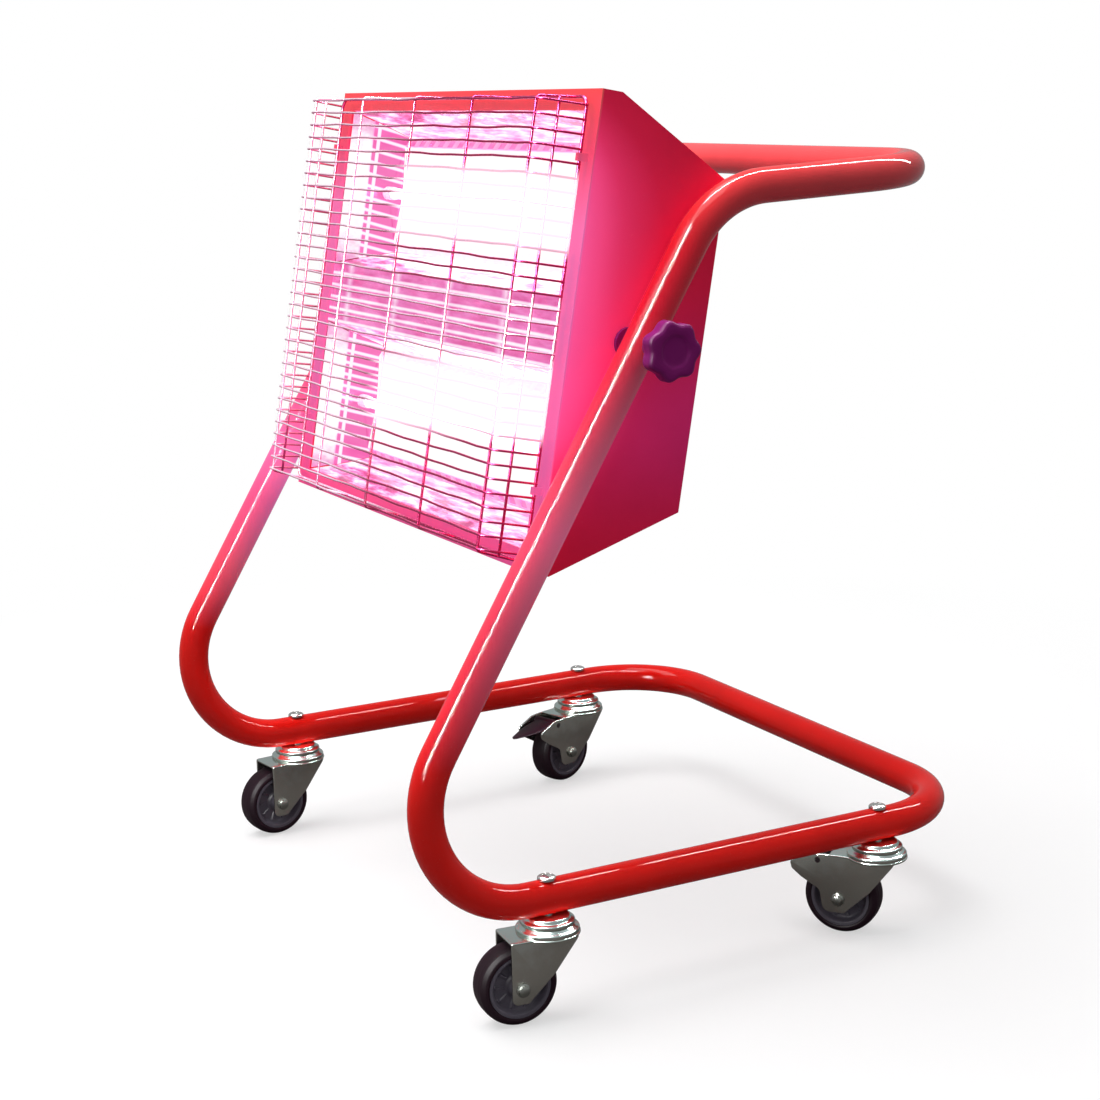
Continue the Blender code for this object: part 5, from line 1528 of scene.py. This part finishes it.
# %% Gland and cover screws
GLAND_UP = 0.110
GLAND_SIDE = -0.160
SCREW_R = 0.0034
SCREW_ACROSS = (-0.265, -0.0885, 0.0885, 0.265)
SCREW_EDGE = 0.009
SLOPE_TOP = 0.0590
SLOPE_BOTTOM = 0.0655
SCREW_UP = (SLOPE_BOTTOM + SCREW_EDGE, HEAD_HEIGHT - SLOPE_TOP - SCREW_EDGE)


def gland_patch():
    """Rows of (depth, radius, flats): with flats the radius is r cos(a) / cos(a - nearest flat)."""
    rows = np.array([
        (-0.0043, 0.0052, 0), (-0.0043, 0.0106, 1), (-0.0003, 0.0106, 1), (-0.0003, 0.0080, 0),
        (0.0018, 0.0080, 0), (0.0018, 0.0110, 1), (0.0068, 0.0110, 1), (0.0072, 0.0100, 0),
        (0.0080, 0.0098, 0), (0.0084, 0.0108, 1), (0.0160, 0.0108, 1), (0.0185, 0.0096, 0),
        (0.0215, 0.0084, 0), (0.0240, 0.0072, 0), (0.0240, 0.0054, 0),
    ])
    angle = full_turn(72)
    flat = math.pi / 4
    off = (angle + flat / 2) % flat - flat / 2
    radius = np.where(rows[:, 2:] > 0, rows[:, 1:2] * math.cos(flat / 2) / np.cos(off), rows[:, 1:2])
    depth = HEAD_DEPTH + GAP + rows[:, :1] + 0.0 * angle
    grid = on_head(GLAND_SIDE + radius * np.cos(angle), depth, GLAND_UP + radius * np.sin(angle))
    return grid_patch(grid, True, True, False)


def screw_patch(x, up):
    """A pan head: a low dome with a cross recess, standing on the cover."""
    share = np.linspace(0.03, 1.0, 14)[:, None]
    angle = full_turn(28)
    across, along = SCREW_R * share * np.cos(angle), SCREW_R * share * np.sin(angle)
    rise = 0.0016 * np.sqrt(np.clip(1.02 - share ** 2, 0.0, 1.0))
    inside = np.clip((0.0005 - np.minimum(np.abs(across), np.abs(along))) / 0.0002, 0.0, 1.0)
    rise = rise - 0.0009 * inside * (share < 0.6)
    foot = HEAD_DEPTH + GAP + SHEET
    return tube(on_head(x + across, foot + rise, up + along)[::-1])


gland = mesh_object("supply_gland", [gland_patch()], 30)
dress(gland, PEDAL_PLASTIC, "head", ["cable_gland"])
places = [(x, up) for up in SCREW_UP for x in SCREW_ACROSS]
screws = mesh_object("cover_screws", [screw_patch(x, up) for x, up in places], 30)
dress(screws, BRIGHT_STEEL, "head")
print("cover screws:", len(places))


# %% [markdown]
# The heater stands on a plain pale floor under one large soft light, with three long narrow lights
# that draw the thin white lines along the tubes. The world is white to the camera, and a plain
# grey where it lights or is mirrored. The floor does the same: it is pale to the camera and
# keeps the shadow, but sends little light back up, so undersides stay deep.

# %% Floor, world and lights
WHITE = (1.0, 1.0, 1.0, 1.0)
FLOOR_HALF = 9.0


def camera_share(rays):
    """1 for rays that come from the camera, straight or through glass."""
    return Value(rays["Is Camera Ray"]).at_least(rays["Is Transmission Ray"])


def floor_material():
    """Pale floor with the shadow near the heater, fading to plain white within two metres."""
    made = bpy.data.materials.new("studio_floor")
    made.use_nodes = True
    tree = made.node_tree
    tree.nodes.clear()
    rays = put(tree, "ShaderNodeLightPath").outputs
    seen = camera_share(rays)
    place = put(tree, "ShaderNodeTexCoord").outputs["Object"]
    cloud = noise(tree, place, 2.0, 2.0).spread(0.3, 0.7, 0.42, 0.44)
    colour = blend_colours(tree, seen, (0.20, 0.19, 0.19, 1.0), cloud)
    body = put(tree, "ShaderNodeBsdfDiffuse", {"Color": colour}).outputs[0]
    lift = put(tree, "ShaderNodeEmission", {"Color": WHITE, "Strength": seen * 0.57}).outputs[0]
    near = put(tree, "ShaderNodeAddShader", {0: body, 1: lift}).outputs[0]
    plain = seen.at_least(Value(rays["Is Glossy Ray"]) * 0.30)
    far = put(tree, "ShaderNodeEmission", {"Color": WHITE, "Strength": plain}).outputs[0]
    away = Value(put(tree, "ShaderNodeVectorMath", {0: place}, operation="LENGTH").outputs["Value"])
    values = {0: away.spread(0.7, 1.5), 1: near, 2: far}
    both = put(tree, "ShaderNodeMixShader", values).outputs[0]
    put(tree, "ShaderNodeOutputMaterial", {"Surface": both})
    return made


def studio_world():
    """White where it is seen, grey where it lights or is mirrored."""
    world = bpy.data.worlds.new("studio_world")
    bpy.context.scene.world = world
    world.use_nodes = True
    tree = world.node_tree
    tree.nodes.clear()
    rays = put(tree, "ShaderNodeLightPath").outputs
    grey = blend_colours(tree, rays["Is Glossy Ray"], (0.42, 0.42, 0.43, 1.0), (0.30, 0.30, 0.30, 1.0))
    colour = blend_colours(tree, camera_share(rays), grey, WHITE)
    light = put(tree, "ShaderNodeBackground", {"Color": colour, "Strength": 1.0}).outputs[0]
    put(tree, "ShaderNodeOutputWorld", {"Surface": light})


def new_light(name, place, turn, width, length, energy):
    """A rectangular light that faces as its turn says."""
    data = bpy.data.lights.new(name, "AREA")
    data.shape = "RECTANGLE"
    data.size, data.size_y = width, length
    data.energy = energy
    lamp = new_object(name, data)
    lamp.matrix_world = Matrix.Translation(place) @ turn.to_4x4()
    return lamp


def area_light(name, place, target, width, length, energy):
    """A rectangular light aimed at a place."""
    turn = (Vector(target) - Vector(place)).to_track_quat("-Z", "Y").to_matrix()
    new_light(name, place, turn, width, length, energy)


def strip_light(name, place, along, target, width, length, energy):
    """A long narrow light whose long side runs along a direction, facing a place."""
    long_side = Vector(along).normalized()
    away = Vector(place) - Vector(target)
    away = (away - long_side * away.dot(long_side)).normalized()
    turn = Matrix((long_side.cross(away), long_side, away)).transposed()
    new_light(name, place, turn, width, length, energy).visible_diffuse = False


floor_corners = [(x * FLOOR_HALF, y * FLOOR_HALF, 0.0) for x, y in ((-1, -1), (1, -1), (1, 1), (-1, 1))]
floor_mesh = bpy.data.meshes.new("studio_floor")
floor_mesh.from_pydata(floor_corners, [], [(0, 1, 2, 3)])
floor_mesh.materials.append(floor_material())
floor = new_object("studio_floor", floor_mesh)
floor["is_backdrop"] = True
studio_world()
LEG_ALONG = (0.0, math.cos(LEG_ANGLE), math.sin(LEG_ANGLE))
LEG_PLACE = (SIDE_X, -0.15, 0.45)
area_light("top_soft", (-0.3, -0.8, 2.7), (0.0, 0.0, 0.4), 2.4, 2.4, 88.0)
strip_light("leg_line", (0.57, -1.40, 1.32), LEG_ALONG, LEG_PLACE, 0.04, 1.6, 120.0)
strip_light("leg_line_thin", (0.86, -1.35, 1.18), LEG_ALONG, LEG_PLACE, 0.02, 1.6, 30.0)
strip_light("rail_line", (0.12, 0.92, 1.50), (0.0, 1.0, 0.0), (SIDE_X, 0.1, 0.12), 0.10, 2.4, 40.0)
bpy.context.scene.view_settings.view_transform = "Standard"
print("floor, world and lights ready")


# %% [markdown]
# Last, the two boxes are printed side by side: the solids alone, and the dressed heater. They
# should agree, since a finish does not make the object bigger.

# %% Sizes and finish
DRESSED_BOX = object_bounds()
for label, box in (("solids", SOLID_BOX), ("dressed", DRESSED_BOX)):
    print(label, [round((high - low) * 1000, 1) for low, high in zip(*box)])
